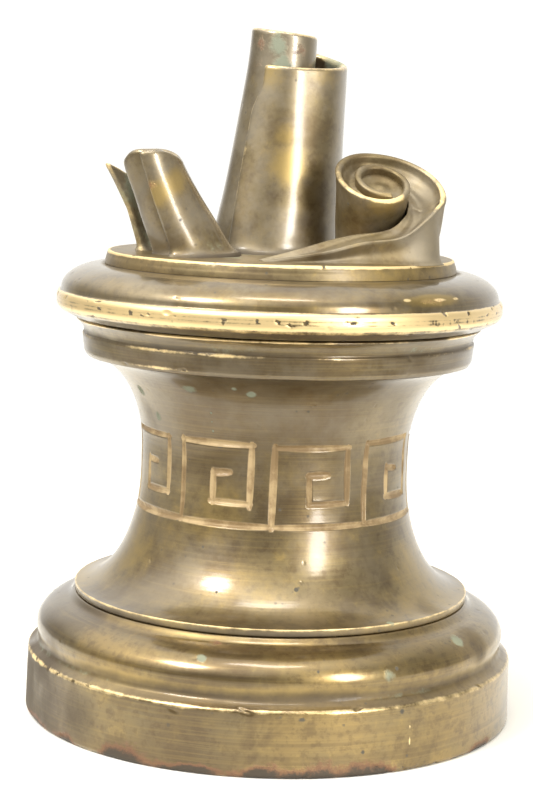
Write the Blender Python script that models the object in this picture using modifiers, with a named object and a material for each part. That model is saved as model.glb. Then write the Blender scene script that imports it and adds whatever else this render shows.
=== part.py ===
"""Desk ink blotter: a turned bronze spool whose scroll-topped cap winds a felt pad up and down.

Lengths are written in millimetres and turned into metres by MM. The Z axis is the turning axis,
and z = 0 is the surface that the foot's rim stands on. -Y is the front.
"""

import math

import bmesh
import bpy
from mathutils import Matrix, Vector

MM = 0.001

# --- driving dimensions -------------------------------------------------------------------------
FOOT_RADIUS = 33.0          # plinth at the table
RECESS_RADIUS = 28.6        # pocket under the foot that the pad retracts into
RECESS_TOP = 9.2
FOOT_TOP = 15.2             # seam between the foot's torus and the waist's flange
WAIST_RADIUS = 18.0         # narrowest part of the grip
WAIST_TOP = 48.0
NECK_SEAT = 53.0            # top of the neck ring, under the cap's rim
RIM_RADIUS = 29.78          # bright rim round the cap
CAP_TOP = 60.0
PLINTH_TOP = 61.9           # disc that the scrolls stand on
PLINTH_RADIUS = 23.46
ROD_RADIUS = 3.0            # M6 tie rod
GAP = 0.3                   # between pieces that touch
RUNNING_BORE = ROD_RADIUS + GAP

TURN_STEPS = 36             # facets round the castings
SMALL_STEPS = 16            # facets round bushes, rods and screws
MERGE = 0.00001

FOOT_SCREW_CIRCLE = 15.0
NECK_SCREW_CIRCLE = 14.0
PLINTH_SCREW_CIRCLE = 14.0
PIN_CIRCLE = 21.0
SCREWS_PER_CIRCLE = 3

SHEET = 0.9                 # thickness of the scrolls' rolled sheet
SCROLL_FOOT = PLINTH_TOP + GAP

# --- colours: base colour, roughness, metallic --------------------------------------------------
FINISHES = {
    "aged_bronze": ((0.30, 0.235, 0.12), 0.36, 1.0),
    "scroll_bronze": ((0.33, 0.26, 0.14), 0.34, 1.0),
    "machined_brass": ((0.62, 0.47, 0.20), 0.28, 1.0),
    "steel": ((0.42, 0.41, 0.39), 0.32, 1.0),
    "leather": ((0.14, 0.07, 0.035), 0.75, 0.0),
    "green_felt": ((0.035, 0.11, 0.055), 0.95, 0.0),
    "blotting_paper": ((0.78, 0.74, 0.66), 0.90, 0.0),
}


# --- helpers ------------------------------------------------------------------------------------
def clear_scene():
    for obj in list(bpy.data.objects):
        bpy.data.objects.remove(obj, do_unlink=True)


def new_collection(name):
    collection = bpy.data.collections.new(name)
    bpy.context.scene.collection.children.link(collection)
    return collection


def make_material(name, finish):
    colour, roughness, metallic = FINISHES[finish]
    material = bpy.data.materials.new(name)
    material.use_nodes = True
    shader = material.node_tree.nodes["Principled BSDF"]
    shader.inputs["Base Color"].default_value = (*colour, 1.0)
    shader.inputs["Roughness"].default_value = roughness
    shader.inputs["Metallic"].default_value = metallic
    material.diffuse_color = (*colour, 1.0)
    return material


def add_object(name, mesh, collection, finish=None):
    obj = bpy.data.objects.new(name, mesh)
    collection.objects.link(obj)
    if finish and not mesh.materials:
        mesh.materials.append(make_material(name, finish))
    return obj


def arc(centre, radii, start, end, points):
    """Points on an elliptical arc in the (radius, z) plane, angles in degrees."""
    angles = [math.radians(start + (end - start) * i / (points - 1)) for i in range(points)]
    return [(centre[0] + radii[0] * math.cos(a), centre[1] + radii[1] * math.sin(a)) for a in angles]


def turned(name, profile, collection, finish=None, closed=True, steps=TURN_STEPS):
    """A (radius, z) outline in mm, running down its outer side, turned round Z."""
    mesh = bpy.data.meshes.new(name)
    vertices = [(r * MM, 0.0, z * MM) for r, z in profile]
    edges = [(i, i + 1) for i in range(len(profile) - 1)]
    if closed:
        edges.append((len(profile) - 1, 0))
    mesh.from_pydata(vertices, edges, [])
    obj = add_object(name, mesh, collection, finish)
    screw = obj.modifiers.new("turn", "SCREW")
    screw.axis = "Z"
    screw.angle = math.tau
    screw.steps = steps
    screw.render_steps = steps
    screw.use_merge_vertices = True
    screw.merge_threshold = MERGE
    screw.use_smooth_shade = True
    return obj


def rod_shape(name, radius, low, high, collection, finish=None, steps=SMALL_STEPS):
    """A plain cylinder on Z between two heights, in mm."""
    mesh = bpy.data.meshes.new(name)
    shape = bmesh.new()
    bmesh.ops.create_cone(
        shape, cap_ends=True, segments=steps, radius1=radius * MM, radius2=radius * MM,
        depth=(high - low) * MM, matrix=Matrix.Translation((0, 0, (low + high) / 2 * MM)))
    shape.to_mesh(mesh)
    shape.free()
    return add_object(name, mesh, collection, finish)


def on_circle(radius, index, count, turn=0.0):
    angle = math.tau * index / count + math.radians(turn)
    return Vector((radius * math.cos(angle), radius * math.sin(angle), 0.0)) * MM


def cut(obj, cutter):
    cutter.hide_render = True
    cutter.display_type = "WIRE"
    boolean = obj.modifiers.new("cut", "BOOLEAN")
    boolean.operation = "DIFFERENCE"
    boolean.solver = "EXACT"
    boolean.object = cutter


def cut_ring_of_holes(obj, cutters, name, circle, steps, count=SCREWS_PER_CIRCLE, turn=0.0):
    """Stepped holes spread round a circle; steps is a list of (radius, low, high) in mm."""
    for index in range(count):
        for number, (radius, low, high) in enumerate(steps):
            cutter = rod_shape(f"{name}_{index + 1}_{number + 1}", radius, low, high, cutters)
            cutter.location = on_circle(circle, index, count, turn)
            cut(obj, cutter)


def sheet(name, place, columns, rows, collection, finish, thickness=SHEET):
    """A rolled sheet: place(u, v) gives a point in mm, u along the roll and v from foot to rim."""
    mesh = bpy.data.meshes.new(name)
    shape = bmesh.new()
    bmesh.ops.create_grid(shape, x_segments=columns, y_segments=rows, size=0.5)
    for vertex in shape.verts:
        vertex.co = place(vertex.co.x + 0.5, vertex.co.y + 0.5) * MM
    shape.to_mesh(mesh)
    shape.free()
    obj = add_object(name, mesh, collection, finish)
    solidify = obj.modifiers.new("thickness", "SOLIDIFY")
    solidify.thickness = thickness * MM
    solidify.offset = 0.0
    return obj


def loft(name, sections, collection, finish):
    """A closed body through a row of closed sections, each a list of points in mm."""
    points = [tuple(point * MM) for section in sections for point in section]
    around = len(sections[0])
    faces = []
    for row in range(len(sections) - 1):
        for k in range(around):
            after = (k + 1) % around
            faces.append((row * around + k, row * around + after,
                          (row + 1) * around + after, (row + 1) * around + k))
    last = (len(sections) - 1) * around
    faces.append(tuple(reversed(range(around))))
    faces.append(tuple(range(last, last + around)))
    mesh = bpy.data.meshes.new(name)
    mesh.from_pydata(points, [], faces)
    shape = bmesh.new()
    shape.from_mesh(mesh)
    bmesh.ops.triangulate(shape, faces=shape.faces[:])
    bmesh.ops.recalc_face_normals(shape, faces=shape.faces[:])
    shape.to_mesh(mesh)
    shape.free()
    return add_object(name, mesh, collection, finish)


def smooth(value):
    """Eases from 0 to 1."""
    value = min(max(value, 0.0), 1.0)
    return value * value * (3.0 - 2.0 * value)


def mix(a, b, t):
    return a + (b - a) * t


def slotted_screw_mesh(name, head_radius, head_height, shank_radius, length, parts, cutters):
    """A cheese-head screw with its shank up +Z and its head's face at z = 0, as one mesh."""
    profile = [(0.0, length), (shank_radius, length), (shank_radius, head_height),
               (head_radius, head_height), (head_radius, 0.0), (0.0, 0.0)]
    screw = turned(f"{name}_master", profile, parts, closed=False, steps=12)
    slot_mesh = bpy.data.meshes.new(f"{name}_slot")
    shape = bmesh.new()
    bmesh.ops.create_cube(shape, size=1.0)
    slot_size = Vector((3.0 * head_radius, 0.8, head_height)) * MM
    bmesh.ops.scale(shape, vec=slot_size, verts=shape.verts)
    shape.to_mesh(slot_mesh)
    shape.free()
    slot = add_object(f"{name}_slot", slot_mesh, cutters)
    cut(screw, slot)
    graph = bpy.context.evaluated_depsgraph_get()
    mesh = bpy.data.meshes.new_from_object(screw.evaluated_get(graph))
    mesh.name = name
    bpy.data.objects.remove(screw, do_unlink=True)
    bpy.data.objects.remove(slot, do_unlink=True)
    mesh.materials.append(make_material(name, "steel"))
    return mesh


def ring_of_screws(name, mesh, circle, height, points_up, collection, turn=0.0):
    screws = []
    for index in range(SCREWS_PER_CIRCLE):
        screw = add_object(f"{name}_{index + 1}", mesh, collection)
        screw.location = on_circle(circle, index, SCREWS_PER_CIRCLE, turn)
        screw.location.z = height * MM
        if not points_up:
            screw.rotation_euler.x = math.pi
        screws.append(screw)
    return screws


def hang_from(empty_name, pieces, collection):
    """Parents pieces to an empty on the turning axis."""
    empty = bpy.data.objects.new(empty_name, None)
    collection.objects.link(empty)
    for piece in pieces:
        piece.parent = empty


# --- castings that stay still -------------------------------------------------------------------
def build_foot(parts, cutters):
    """Plinth and torus in one casting, with the pad's pocket underneath and a central spigot."""
    spigot_radius = 9.0
    spigot_top = 17.4
    bush_bore = 6.2
    flange_pocket = 8.0
    profile = [(26.6, FOOT_TOP)]
    profile += arc((25.9, 11.4), (5.7, 3.75), 62, -14, 6)
    profile += [(31.35, 9.6), (31.8, 8.75), (32.75, 8.25), (FOOT_RADIUS, 0.0)]
    profile += [(RECESS_RADIUS, 0.0), (RECESS_RADIUS, RECESS_TOP), (flange_pocket, RECESS_TOP)]
    profile += [(flange_pocket, RECESS_TOP + 1.9), (bush_bore, RECESS_TOP + 1.9)]
    profile += [(bush_bore, spigot_top), (spigot_radius, spigot_top), (spigot_radius, FOOT_TOP)]
    foot = turned("foot", profile, parts, "aged_bronze")
    cut_ring_of_holes(foot, cutters, "foot_screw_hole", FOOT_SCREW_CIRCLE,
                      [(4.0, RECESS_TOP - 1.0, RECESS_TOP + 2.1), (2.3, RECESS_TOP, FOOT_TOP + 1.0)])
    cut_ring_of_holes(foot, cutters, "pin_hole", PIN_CIRCLE,
                      [(1.8, RECESS_TOP - 1.0, 14.2)], count=2, turn=30.0)
    return foot


def build_waist(parts, cutters):
    """The spool-shaped grip, solid but for the tie rod's bore, with a spigot at its top."""
    bore = 4.0
    register = 9.3
    register_depth = 17.7
    spigot_radius = 8.0
    spigot_top = 49.8
    profile = arc((26.0, 36.0), (26.0 - WAIST_RADIUS, WAIST_TOP - 36.0), 90, 180, 7)[1:]
    profile.insert(0, (24.4, WAIST_TOP))
    profile += arc((26.6, 33.0), (26.6 - WAIST_RADIUS, 16.0), 180, 266, 7)
    profile += [(26.64, 16.95), (26.2, FOOT_TOP + GAP), (register, FOOT_TOP + GAP)]
    profile += [(register, register_depth), (bore, register_depth), (bore, spigot_top)]
    profile += [(spigot_radius, spigot_top), (spigot_radius, WAIST_TOP)]
    waist = turned("waist", profile, parts, "aged_bronze")
    cut_ring_of_holes(waist, cutters, "waist_foot_hole", FOOT_SCREW_CIRCLE, [(2.3, 14.0, 21.0)])
    cut_ring_of_holes(waist, cutters, "waist_neck_hole", NECK_SCREW_CIRCLE, [(2.0, 42.4, 49.0)])
    return waist


def build_neck_ring(parts, cutters):
    """Fillet and cavetto under the cap, with a pocket for the washer and the screw heads."""
    pocket_radius = 19.0
    pocket_floor = 50.9
    spigot_bore = 8.3
    washer_floor = 51.6
    profile = [(26.9, NECK_SEAT), (27.12, 52.85), (26.35, 52.35), (26.0, 51.5), (26.1, 50.8)]
    profile += [(25.95, WAIST_TOP + GAP), (spigot_bore, WAIST_TOP + GAP), (spigot_bore, pocket_floor)]
    profile += [(pocket_radius, pocket_floor), (pocket_radius, NECK_SEAT), (20.0, NECK_SEAT)]
    profile += [(20.0, washer_floor), (25.9, washer_floor), (25.9, NECK_SEAT)]
    neck_ring = turned("neck_ring", profile, parts, "aged_bronze")
    cut_ring_of_holes(neck_ring, cutters, "neck_hole", NECK_SCREW_CIRCLE, [(2.0, 47.0, 52.0)])
    return neck_ring


def build_seat_washer(parts):
    """Leather friction washer that the cap is screwed down on."""
    profile = [(25.5, 53.05), (25.5, 51.95), (20.4, 51.95), (20.4, 53.05)]
    return turned("seat_washer", profile, parts, "leather")


def build_rod_guide_bush(parts):
    profile = [(5.9, 17.2), (5.9, RECESS_TOP + 1.5), (7.6, RECESS_TOP + 1.5), (7.6, RECESS_TOP + 0.3),
               (RUNNING_BORE, RECESS_TOP + 0.3), (RUNNING_BORE, 17.2)]
    return turned("rod_guide_bush", profile, parts, "machined_brass", steps=SMALL_STEPS)


def build_still_screws(parts, cutters):
    foot_mesh = slotted_screw_mesh("foot_screw", 3.5, 1.6, 1.9, 11.0, parts, cutters)
    ring_of_screws("foot_screw", foot_mesh, FOOT_SCREW_CIRCLE, RECESS_TOP + 0.2, True, parts)
    neck_mesh = slotted_screw_mesh("neck_screw", 3.0, 1.5, 1.6, 10.0, parts, cutters)
    ring_of_screws("neck_screw", neck_mesh, NECK_SCREW_CIRCLE, 52.75, False, parts)


# --- the cap and its scrolls --------------------------------------------------------------------
def build_cap(parts, cutters):
    """Bright rim and ovolo, with a pocket above for the scroll plinth and one below for the bush."""
    well_radius = 19.3
    well_floor = 57.3
    bush_bore = 6.2
    bush_pocket = 9.4
    bush_ceiling = 55.6
    underside = NECK_SEAT + 0.35
    profile = [(23.4, CAP_TOP)]
    profile += arc((23.5, 56.7), (5.75, 3.3), 76, 5, 6)
    profile += [(29.74, 56.35), (RIM_RADIUS, 54.5), (29.3, 53.95), (27.6, underside)]
    profile += [(bush_pocket, underside), (bush_pocket, bush_ceiling), (bush_bore, bush_ceiling)]
    profile += [(bush_bore, well_floor), (well_radius, well_floor), (well_radius, CAP_TOP)]
    cap = turned("cap", profile, parts, "aged_bronze")
    cut_ring_of_holes(cap, cutters, "cap_hole", PLINTH_SCREW_CIRCLE,
                      [(3.2, underside - 1.0, 55.3), (1.8, 54.0, well_floor + 1.0)], turn=20.0)
    return cap


def build_scroll_plinth(parts, cutters):
    """Low disc that carries the scrolls, with a hub that drops into the cap."""
    hub_radius = 19.0
    hub_floor = 57.6
    bush_bore = 6.2
    bush_roof = 61.0
    profile = [(0.0, PLINTH_TOP), (22.8, PLINTH_TOP), (23.07, PLINTH_TOP - 0.15)]
    profile += [(PLINTH_RADIUS, CAP_TOP + GAP), (hub_radius, CAP_TOP + GAP), (hub_radius, hub_floor)]
    profile += [(bush_bore, hub_floor), (bush_bore, bush_roof), (0.0, bush_roof)]
    plinth = turned("scroll_plinth", profile, parts, "scroll_bronze", closed=False)
    cut_ring_of_holes(plinth, cutters, "plinth_hole", PLINTH_SCREW_CIRCLE,
                      [(1.8, hub_floor - 1.0, bush_roof)], turn=20.0)
    return plinth


def build_cap_bush(parts):
    """Threaded bush that runs on the tie rod."""
    profile = [(5.9, 60.7), (5.9, 55.3), (9.0, 55.3), (9.0, 53.7),
               (RUNNING_BORE, 53.7), (RUNNING_BORE, 60.7)]
    return turned("cap_bush", profile, parts, "machined_brass", steps=SMALL_STEPS)


def build_plinth_screws(parts, cutters):
    mesh = slotted_screw_mesh("plinth_screw", 2.8, 1.3, 1.5, 7.0, parts, cutters)
    return ring_of_screws("plinth_screw", mesh, PLINTH_SCREW_CIRCLE, 53.6, True, parts, turn=20.0)


def standing_roll(u, v, roll):
    """A point on a standing roll, whose free edge lies at the front left.

    The sheet comes in from the free edge round the right and the back, and then closes into a core.
    """
    angle_in = roll["core_turn"]
    angle = mix(angle_in, roll["free_edge"], u)
    swell = smooth((180.0 - angle) / 180.0)
    tuck = min(angle, 0.0) / roll["free_edge"]
    curl_in = smooth((angle - 300.0) / 240.0)
    radius = roll["core"] + roll["swell"] * swell - roll["tuck"] * tuck ** 2 - roll["core_curl"] * curl_in
    a = math.radians(angle)
    foot_ring = Vector((math.cos(a), math.sin(a), 0.0)) * radius * roll["foot_scale"]
    right = Vector((math.cos(math.radians(roll["lean"])), 0.0, -math.sin(math.radians(roll["lean"]))))
    top_ring = right * (radius * math.cos(a)) + Vector((0.0, 1.0, 0.0)) * (radius * math.sin(a))
    drop = roll["lip_drop"] * smooth((180.0 - angle) / 290.0) + roll["crown"] * math.cos(a) ** 4
    top = roll["top"] + top_ring - Vector((0.0, 0.0, drop))
    foot = roll["foot"] + foot_ring
    bend = 1.0 - (1.0 - v) ** roll["flare"]
    point = foot.lerp(top, bend)
    point.z = mix(foot.z, top.z, v)
    return point


TALL_ROLL = {
    "foot": Vector((-3.85, 5.0, SCROLL_FOOT)), "top": Vector((-0.5, 4.5, 91.05)), "lean": 7.0,
    "core": 4.0, "swell": 4.1, "tuck": 1.3, "core_curl": 0.9, "foot_scale": 1.38,
    "lip_drop": 4.7, "crown": 0.0, "flare": 1.35, "core_turn": 470.0, "free_edge": -110.0,
}

LEFT_ROLL = {
    "foot": Vector((-12.0, -8.4, SCROLL_FOOT)), "top": Vector((-17.55, -9.4, 75.0)), "lean": 4.0,
    "core": 2.75, "swell": 1.3, "tuck": 0.05, "core_curl": 0.9, "foot_scale": 1.4,
    "lip_drop": 0.2, "crown": 0.9, "flare": 1.1, "core_turn": 430.0, "free_edge": -115.0,
}


def build_left_leaf(parts):
    """A loose leaf that springs away behind the left roll."""
    def place(u, v):
        foot = Vector((-13.5, -0.5, SCROLL_FOOT)).lerp(Vector((-18.2, -3.2, SCROLL_FOOT)), u)
        top = Vector((-18.3, -2.2, 71.6)).lerp(Vector((-22.7, -6.0, 72.3)), u)
        bulge = 0.9 * math.sin(math.pi * v) + 0.5 * math.sin(math.pi * u)
        return foot.lerp(top, v) + Vector((bulge, bulge, 0.0)) * 0.5
    return sheet("left_leaf", place, 6, 6, parts, "scroll_bronze", thickness=0.8)


VOLUTE_FACE = Vector((12.7, -8.0, 72.0))        # centre of the spiral's tilted face
VOLUTE_FOOT = Vector((12.2, -4.5, SCROLL_FOOT))
VOLUTE_TILT = 31.0                              # face leans to the front
VOLUTE_SIDE_TILT = 10.0                         # and drops to the right
VOLUTE_START = 75.0                             # turn in degrees at the inner end
VOLUTE_END = 735.0                              # and where the tail begins
VOLUTE_CORE = 3.0                               # radius of the rim before it has turned
VOLUTE_GROWTH = 0.3                             # added in each full turn
VOLUTE_SPREAD = [(2.3, 360.0, 150.0), (2.2, 615.0, 120.0)]  # opens by this much, from a turn, over degrees
VOLUTE_FOOT_SCALE = 0.8                         # radius of the foot beside the rim's
WALL_HEIGHTS = (0.0, 0.35, 0.7, 1.0)            # rows of points up the walls
WALL_FLARE = 1.4
TAIL = [                                        # rim and back edge of the unrolled tail's top
    (Vector((18.6, -13.2, 67.4)), Vector((17.0, -11.2, 67.5))),
    (Vector((15.3, -15.8, 65.3)), Vector((13.7, -12.5, 66.3))),
    (Vector((10.1, -17.3, 64.5)), Vector((8.5, -13.9, 65.3))),
    (Vector((5.1, -18.2, 63.5)), Vector((3.0, -15.8, 63.9))),
    (Vector((-2.3, -18.5, 62.8)), Vector((-2.7, -17.6, 62.9))),
]
TAIL_FOOT_INSET = 0.6                           # the front wall's foot lies this far behind the rim


def volute_radius(turn):
    """Radius of the spiral's rim in mm, at a turn in degrees from its inner end."""
    radius = VOLUTE_CORE + VOLUTE_GROWTH * turn / 360.0
    for opening, start, span in VOLUTE_SPREAD:
        radius += opening * smooth((turn - start) / span)
    return radius


def volute_wall(turn, offset):
    """Foot and rim of one face of the spiral's sheet, at a distance outside its middle."""
    a = -math.radians(turn)
    side = math.radians(VOLUTE_SIDE_TILT)
    tilt = math.radians(VOLUTE_TILT)
    right = Vector((math.cos(side), 0.0, -math.sin(side)))
    back = Vector((0.0, math.cos(tilt), math.sin(tilt)))
    rim_radius = volute_radius(turn) + offset
    foot_radius = volute_radius(turn) * VOLUTE_FOOT_SCALE + offset
    rim = VOLUTE_FACE + right * rim_radius * math.cos(a) + back * rim_radius * math.sin(a)
    foot = VOLUTE_FOOT + Vector((math.cos(a), math.sin(a), 0.0)) * foot_radius
    return foot, rim


def wall_line(foot, rim):
    """Points up a wall that leans out more towards its rim."""
    line = []
    for v in WALL_HEIGHTS:
        point = foot.lerp(rim, v ** WALL_FLARE)
        point.z = mix(foot.z, rim.z, v)
        line.append(point)
    return line


def volute_section(turn):
    """Closed section through the spiral: up its outside and down its inside."""
    outside = wall_line(*volute_wall(turn, SHEET / 2.0))
    inside = wall_line(*volute_wall(turn, -SHEET / 2.0))
    return outside + inside[::-1]


def tail_section(rim, back):
    """Closed section through the tail: up its front wall, back over the top and down behind."""
    away = Vector((rim.x - back.x, rim.y - back.y, 0.0)).normalized()
    foot = rim - away * TAIL_FOOT_INSET
    foot.z = SCROLL_FOOT
    back_foot = Vector((back.x, back.y, SCROLL_FOOT))
    return wall_line(foot, rim) + [rim.lerp(back, 0.5), back, back.lerp(back_foot, 0.5), back_foot]


def spline(points, t):
    """A point on a smooth curve through points, t from 0 to 1."""
    spans = len(points) - 1
    index = min(int(t * spans), spans - 1)
    local = t * spans - index
    before = points[max(index - 1, 0)]
    start, end = points[index], points[index + 1]
    after = points[min(index + 2, spans)]
    leave, arrive = (end - before) * 0.5, (after - start) * 0.5
    t2, t3 = local * local, local ** 3
    return (start * (2 * t3 - 3 * t2 + 1) + leave * (t3 - 2 * t2 + local)
            + end * (3 * t2 - 2 * t3) + arrive * (t3 - t2))


def build_right_scroll(parts):
    """The volute's spiral, and then its tail unrolled along the plinth's front."""
    spiral_steps = 40
    tail_steps = 20
    sections = []
    for step in range(spiral_steps + 1):
        turn = mix(VOLUTE_START, VOLUTE_END, step / spiral_steps)
        sections.append(volute_section(turn))
    knots = [sections[-1]] + [tail_section(rim, back) for rim, back in TAIL]
    lines = list(zip(*knots))
    for step in range(1, tail_steps + 1):
        sections.append([spline(line, step / tail_steps) for line in lines])
    return loft("right_scroll", sections, parts, "scroll_bronze")


def build_scrolls(parts):
    return [
        sheet("tall_scroll", lambda u, v: standing_roll(u, v, TALL_ROLL), 40, 6, parts, "scroll_bronze"),
        sheet("left_scroll", lambda u, v: standing_roll(u, v, LEFT_ROLL), 30, 4, parts, "scroll_bronze"),
        build_left_leaf(parts),
        build_right_scroll(parts),
    ]


# --- the pad and what carries it ----------------------------------------------------------------
PLATE_TOP = 8.9
PLATE_STEP = 6.3            # the paper ring's top comes up to just under this
PLATE_FLOOR = 5.3
PLATE_RADIUS = 28.2
PLATE_SPIGOT = 25.9
PAPER_FLOOR = 0.35
PAPER_THICKNESS = 0.5
PAPER_RADIUS = 26.0
PAPER_WALL_TOP = 4.6
RING_RADIUS = 28.2
RING_BORE = 26.3


def build_tie_rod(parts):
    return rod_shape("tie_rod", ROD_RADIUS, 5.5, 60.3, parts, "steel")


def build_pad_plate(parts, cutters):
    nut_pocket = 6.5
    nut_ceiling = 7.5
    profile = [(PLATE_RADIUS, PLATE_TOP), (PLATE_RADIUS, PLATE_STEP), (PLATE_SPIGOT, PLATE_STEP)]
    profile += [(PLATE_SPIGOT, PLATE_FLOOR), (nut_pocket, PLATE_FLOOR), (nut_pocket, nut_ceiling)]
    profile += [(RUNNING_BORE, nut_ceiling), (RUNNING_BORE, PLATE_TOP)]
    plate = turned("pad_plate", profile, parts, "machined_brass")
    cut_ring_of_holes(plate, cutters, "plate_pin_hole", PIN_CIRCLE,
                      [(1.8, 6.6, PLATE_TOP + 1.0)], count=2, turn=30.0)
    return plate


def build_rod_nut(parts):
    """Hexagon nut that locks the plate on the rod; its bore is six-sided too and clears the rod."""
    bore = RUNNING_BORE / math.cos(math.pi / 6)
    profile = [(6.0, 7.2), (6.0, 5.5), (bore, 5.5), (bore, 7.2)]
    return turned("rod_nut", profile, parts, "steel", steps=6)


def build_anti_turn_pins(parts):
    pins = []
    for index in range(2):
        pin = rod_shape(f"anti_turn_pin_{index + 1}", 1.5, 6.9, 13.9, parts, "steel", steps=12)
        pin.location = on_circle(PIN_CIRCLE, index, 2, 30.0)
        pins.append(pin)
    return pins


def build_felt_pad(parts):
    low = PAPER_FLOOR + PAPER_THICKNESS + GAP
    high = PLATE_FLOOR - GAP
    profile = [(0.0, high), (25.1, high), (25.1, low), (0.0, low)]
    return turned("felt_pad", profile, parts, "green_felt", closed=False)


def build_blotting_paper(parts):
    """A disc whose edge is turned up round the felt, where the ring holds it."""
    inner = PAPER_RADIUS - PAPER_THICKNESS
    floor = PAPER_FLOOR + PAPER_THICKNESS
    profile = [(0.0, floor), (inner, floor), (inner, PAPER_WALL_TOP), (PAPER_RADIUS, PAPER_WALL_TOP)]
    profile += [(PAPER_RADIUS, PAPER_FLOOR), (0.0, PAPER_FLOOR)]
    return turned("blotting_paper", profile, parts, "blotting_paper", closed=False)


def build_paper_ring(parts):
    profile = [(RING_RADIUS, PLATE_STEP - GAP), (RING_RADIUS, 0.9), (RING_BORE, 0.9),
               (RING_BORE, PLATE_STEP - GAP)]
    return turned("paper_ring", profile, parts, "machined_brass")


# --- assembly -----------------------------------------------------------------------------------
def build():
    clear_scene()
    parts = new_collection("ink_blotter")
    cutters = new_collection("cutters")

    build_foot(parts, cutters)
    build_waist(parts, cutters)
    build_neck_ring(parts, cutters)
    build_seat_washer(parts)
    build_rod_guide_bush(parts)
    build_still_screws(parts, cutters)

    cap_pieces = [build_cap(parts, cutters), build_scroll_plinth(parts, cutters), build_cap_bush(parts)]
    cap_pieces += build_scrolls(parts)
    cap_pieces += build_plinth_screws(parts, cutters)
    hang_from("cap_axis", cap_pieces, parts)

    pad_pieces = [build_tie_rod(parts), build_pad_plate(parts, cutters), build_rod_nut(parts)]
    pad_pieces += build_anti_turn_pins(parts)
    pad_pieces += [build_felt_pad(parts), build_blotting_paper(parts)]
    hang_from("pad_axis", pad_pieces, parts)
    hang_from("ring_axis", [build_paper_ring(parts)], parts)


build()
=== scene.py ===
"""Looks of the desk ink blotter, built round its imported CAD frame.

Lengths are in millimetres and turned into metres by MM. The turning axis is Z, and -Y is the front.
"""

import math
import random

import bpy
import numpy as np
from mathutils import Matrix, Vector


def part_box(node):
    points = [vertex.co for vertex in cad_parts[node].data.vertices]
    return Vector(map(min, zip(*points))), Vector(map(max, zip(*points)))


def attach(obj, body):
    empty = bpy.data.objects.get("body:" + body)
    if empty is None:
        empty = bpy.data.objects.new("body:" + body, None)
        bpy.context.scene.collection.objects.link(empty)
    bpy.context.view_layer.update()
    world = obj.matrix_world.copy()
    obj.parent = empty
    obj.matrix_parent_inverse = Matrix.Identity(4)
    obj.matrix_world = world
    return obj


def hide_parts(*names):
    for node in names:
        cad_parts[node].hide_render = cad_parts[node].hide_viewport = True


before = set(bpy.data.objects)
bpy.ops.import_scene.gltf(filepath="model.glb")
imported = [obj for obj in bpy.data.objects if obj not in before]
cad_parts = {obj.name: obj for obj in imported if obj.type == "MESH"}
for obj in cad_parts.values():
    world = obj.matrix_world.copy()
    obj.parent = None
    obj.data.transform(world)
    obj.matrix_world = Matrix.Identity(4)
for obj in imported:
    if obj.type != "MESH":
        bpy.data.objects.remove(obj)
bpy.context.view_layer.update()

MM = 0.001


def node_radius(node):
    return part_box(node)[1].x / MM


def node_top(node):
    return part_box(node)[1].z / MM


def node_bottom(node):
    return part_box(node)[0].z / MM


# --- sizes read from the frame ------------------------------------------------------------------
FOOT_RADIUS = node_radius("foot")
RECESS_RADIUS = node_radius("pad_plate") + 0.4
RECESS_TOP = node_top("pad_plate") + 0.3
WAIST_FLANGE = node_radius("waist")
FOOT_TOP = node_bottom("waist") - 0.3
WAIST_TOP = node_bottom("neck_ring") - 0.3
NECK_RADIUS = node_radius("neck_ring")
NECK_SEAT = node_top("neck_ring")
RIM_RADIUS = node_radius("cap")
CAP_TOP = node_top("cap")
PLINTH_RADIUS = node_radius("scroll_plinth")
PLINTH_TOP = node_top("scroll_plinth")
WAIST_RADIUS = 18.0

# Edges that wear and take dents, as (radius, z)
FOOT_ARRIS = (32.78, 8.3)
NECK_BEAD = (26.22, 50.75)
NECK_FOOT = (25.98, 48.5)
RIM_TOP = (29.6, 56.42)
RIM_MIDDLE = (RIM_RADIUS, 55.4)
PLINTH_ARRIS = (23.08, PLINTH_TOP - 0.12)

ROUND = 720                 # segments round the castings
ENGRAVED_ROUND = 960        # segments round the engraved waist
SEAM = 0.02                 # hairline gap between castings that touch

# The band cut round the waist
BAND_LOW = 27.4
BAND_HIGH = 39.4
BAND_RADIUS = WAIST_RADIUS + 0.4
STROKE_HALF = 0.46
STROKE_DEPTH = 0.30
BAND_REPEATS = 9
SLIP = 0.11                 # how far the graver misses

# Camera: where the photographer's lens was, worked out from the ellipses of the foot and rims
CAMERA_PLACE = Vector((0.0, -0.2699, 0.07924))
CAMERA_PITCH = 7.93         # degrees below the horizon
CAMERA_YAW = -0.28
CAMERA_ROLL = 1.84
CAMERA_LENS = 90.2          # on a 36 mm long side

STUDIO_WHITE = (1.12, 1.10, 1.05)
# Sides of the studio with another tone: the way there, the cosines where it starts and is full, the tone
STUDIO_SIDES = (
    ((0.0, -0.98, 0.17), (-0.80, 0.10), (0.38, 0.37, 0.34)),    # the dark room behind the camera
    ((-0.94, 0.34, 0.0), (0.66, 0.95), (0.46, 0.44, 0.39)),     # the grey wall on the left
    ((-0.30, -0.12, 0.94), (0.40, 0.90), (2.2, 2.15, 2.02)),    # the bright ceiling
)
FLOOR_HALF = 0.5
FLOOR_WHITE = (0.80, 0.79, 0.755)
# painted shade: the floor turns to this grey towards the camera
FLOOR_GREY = (0.35, 0.335, 0.30)
FLOOR_GREY_REACH = (-0.046, -0.115)     # y where the grey starts and where it is full
FLOOR_FADE_REACH = (0.10, 0.30)         # distance from the object where the floor starts and ends fading
LIGHT_CENTRE = Vector((0.0, -0.01, 0.04))
LIGHT_DISTANCE = 0.62
WINDOW_TINT = (1.0, 0.985, 0.95)
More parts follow.
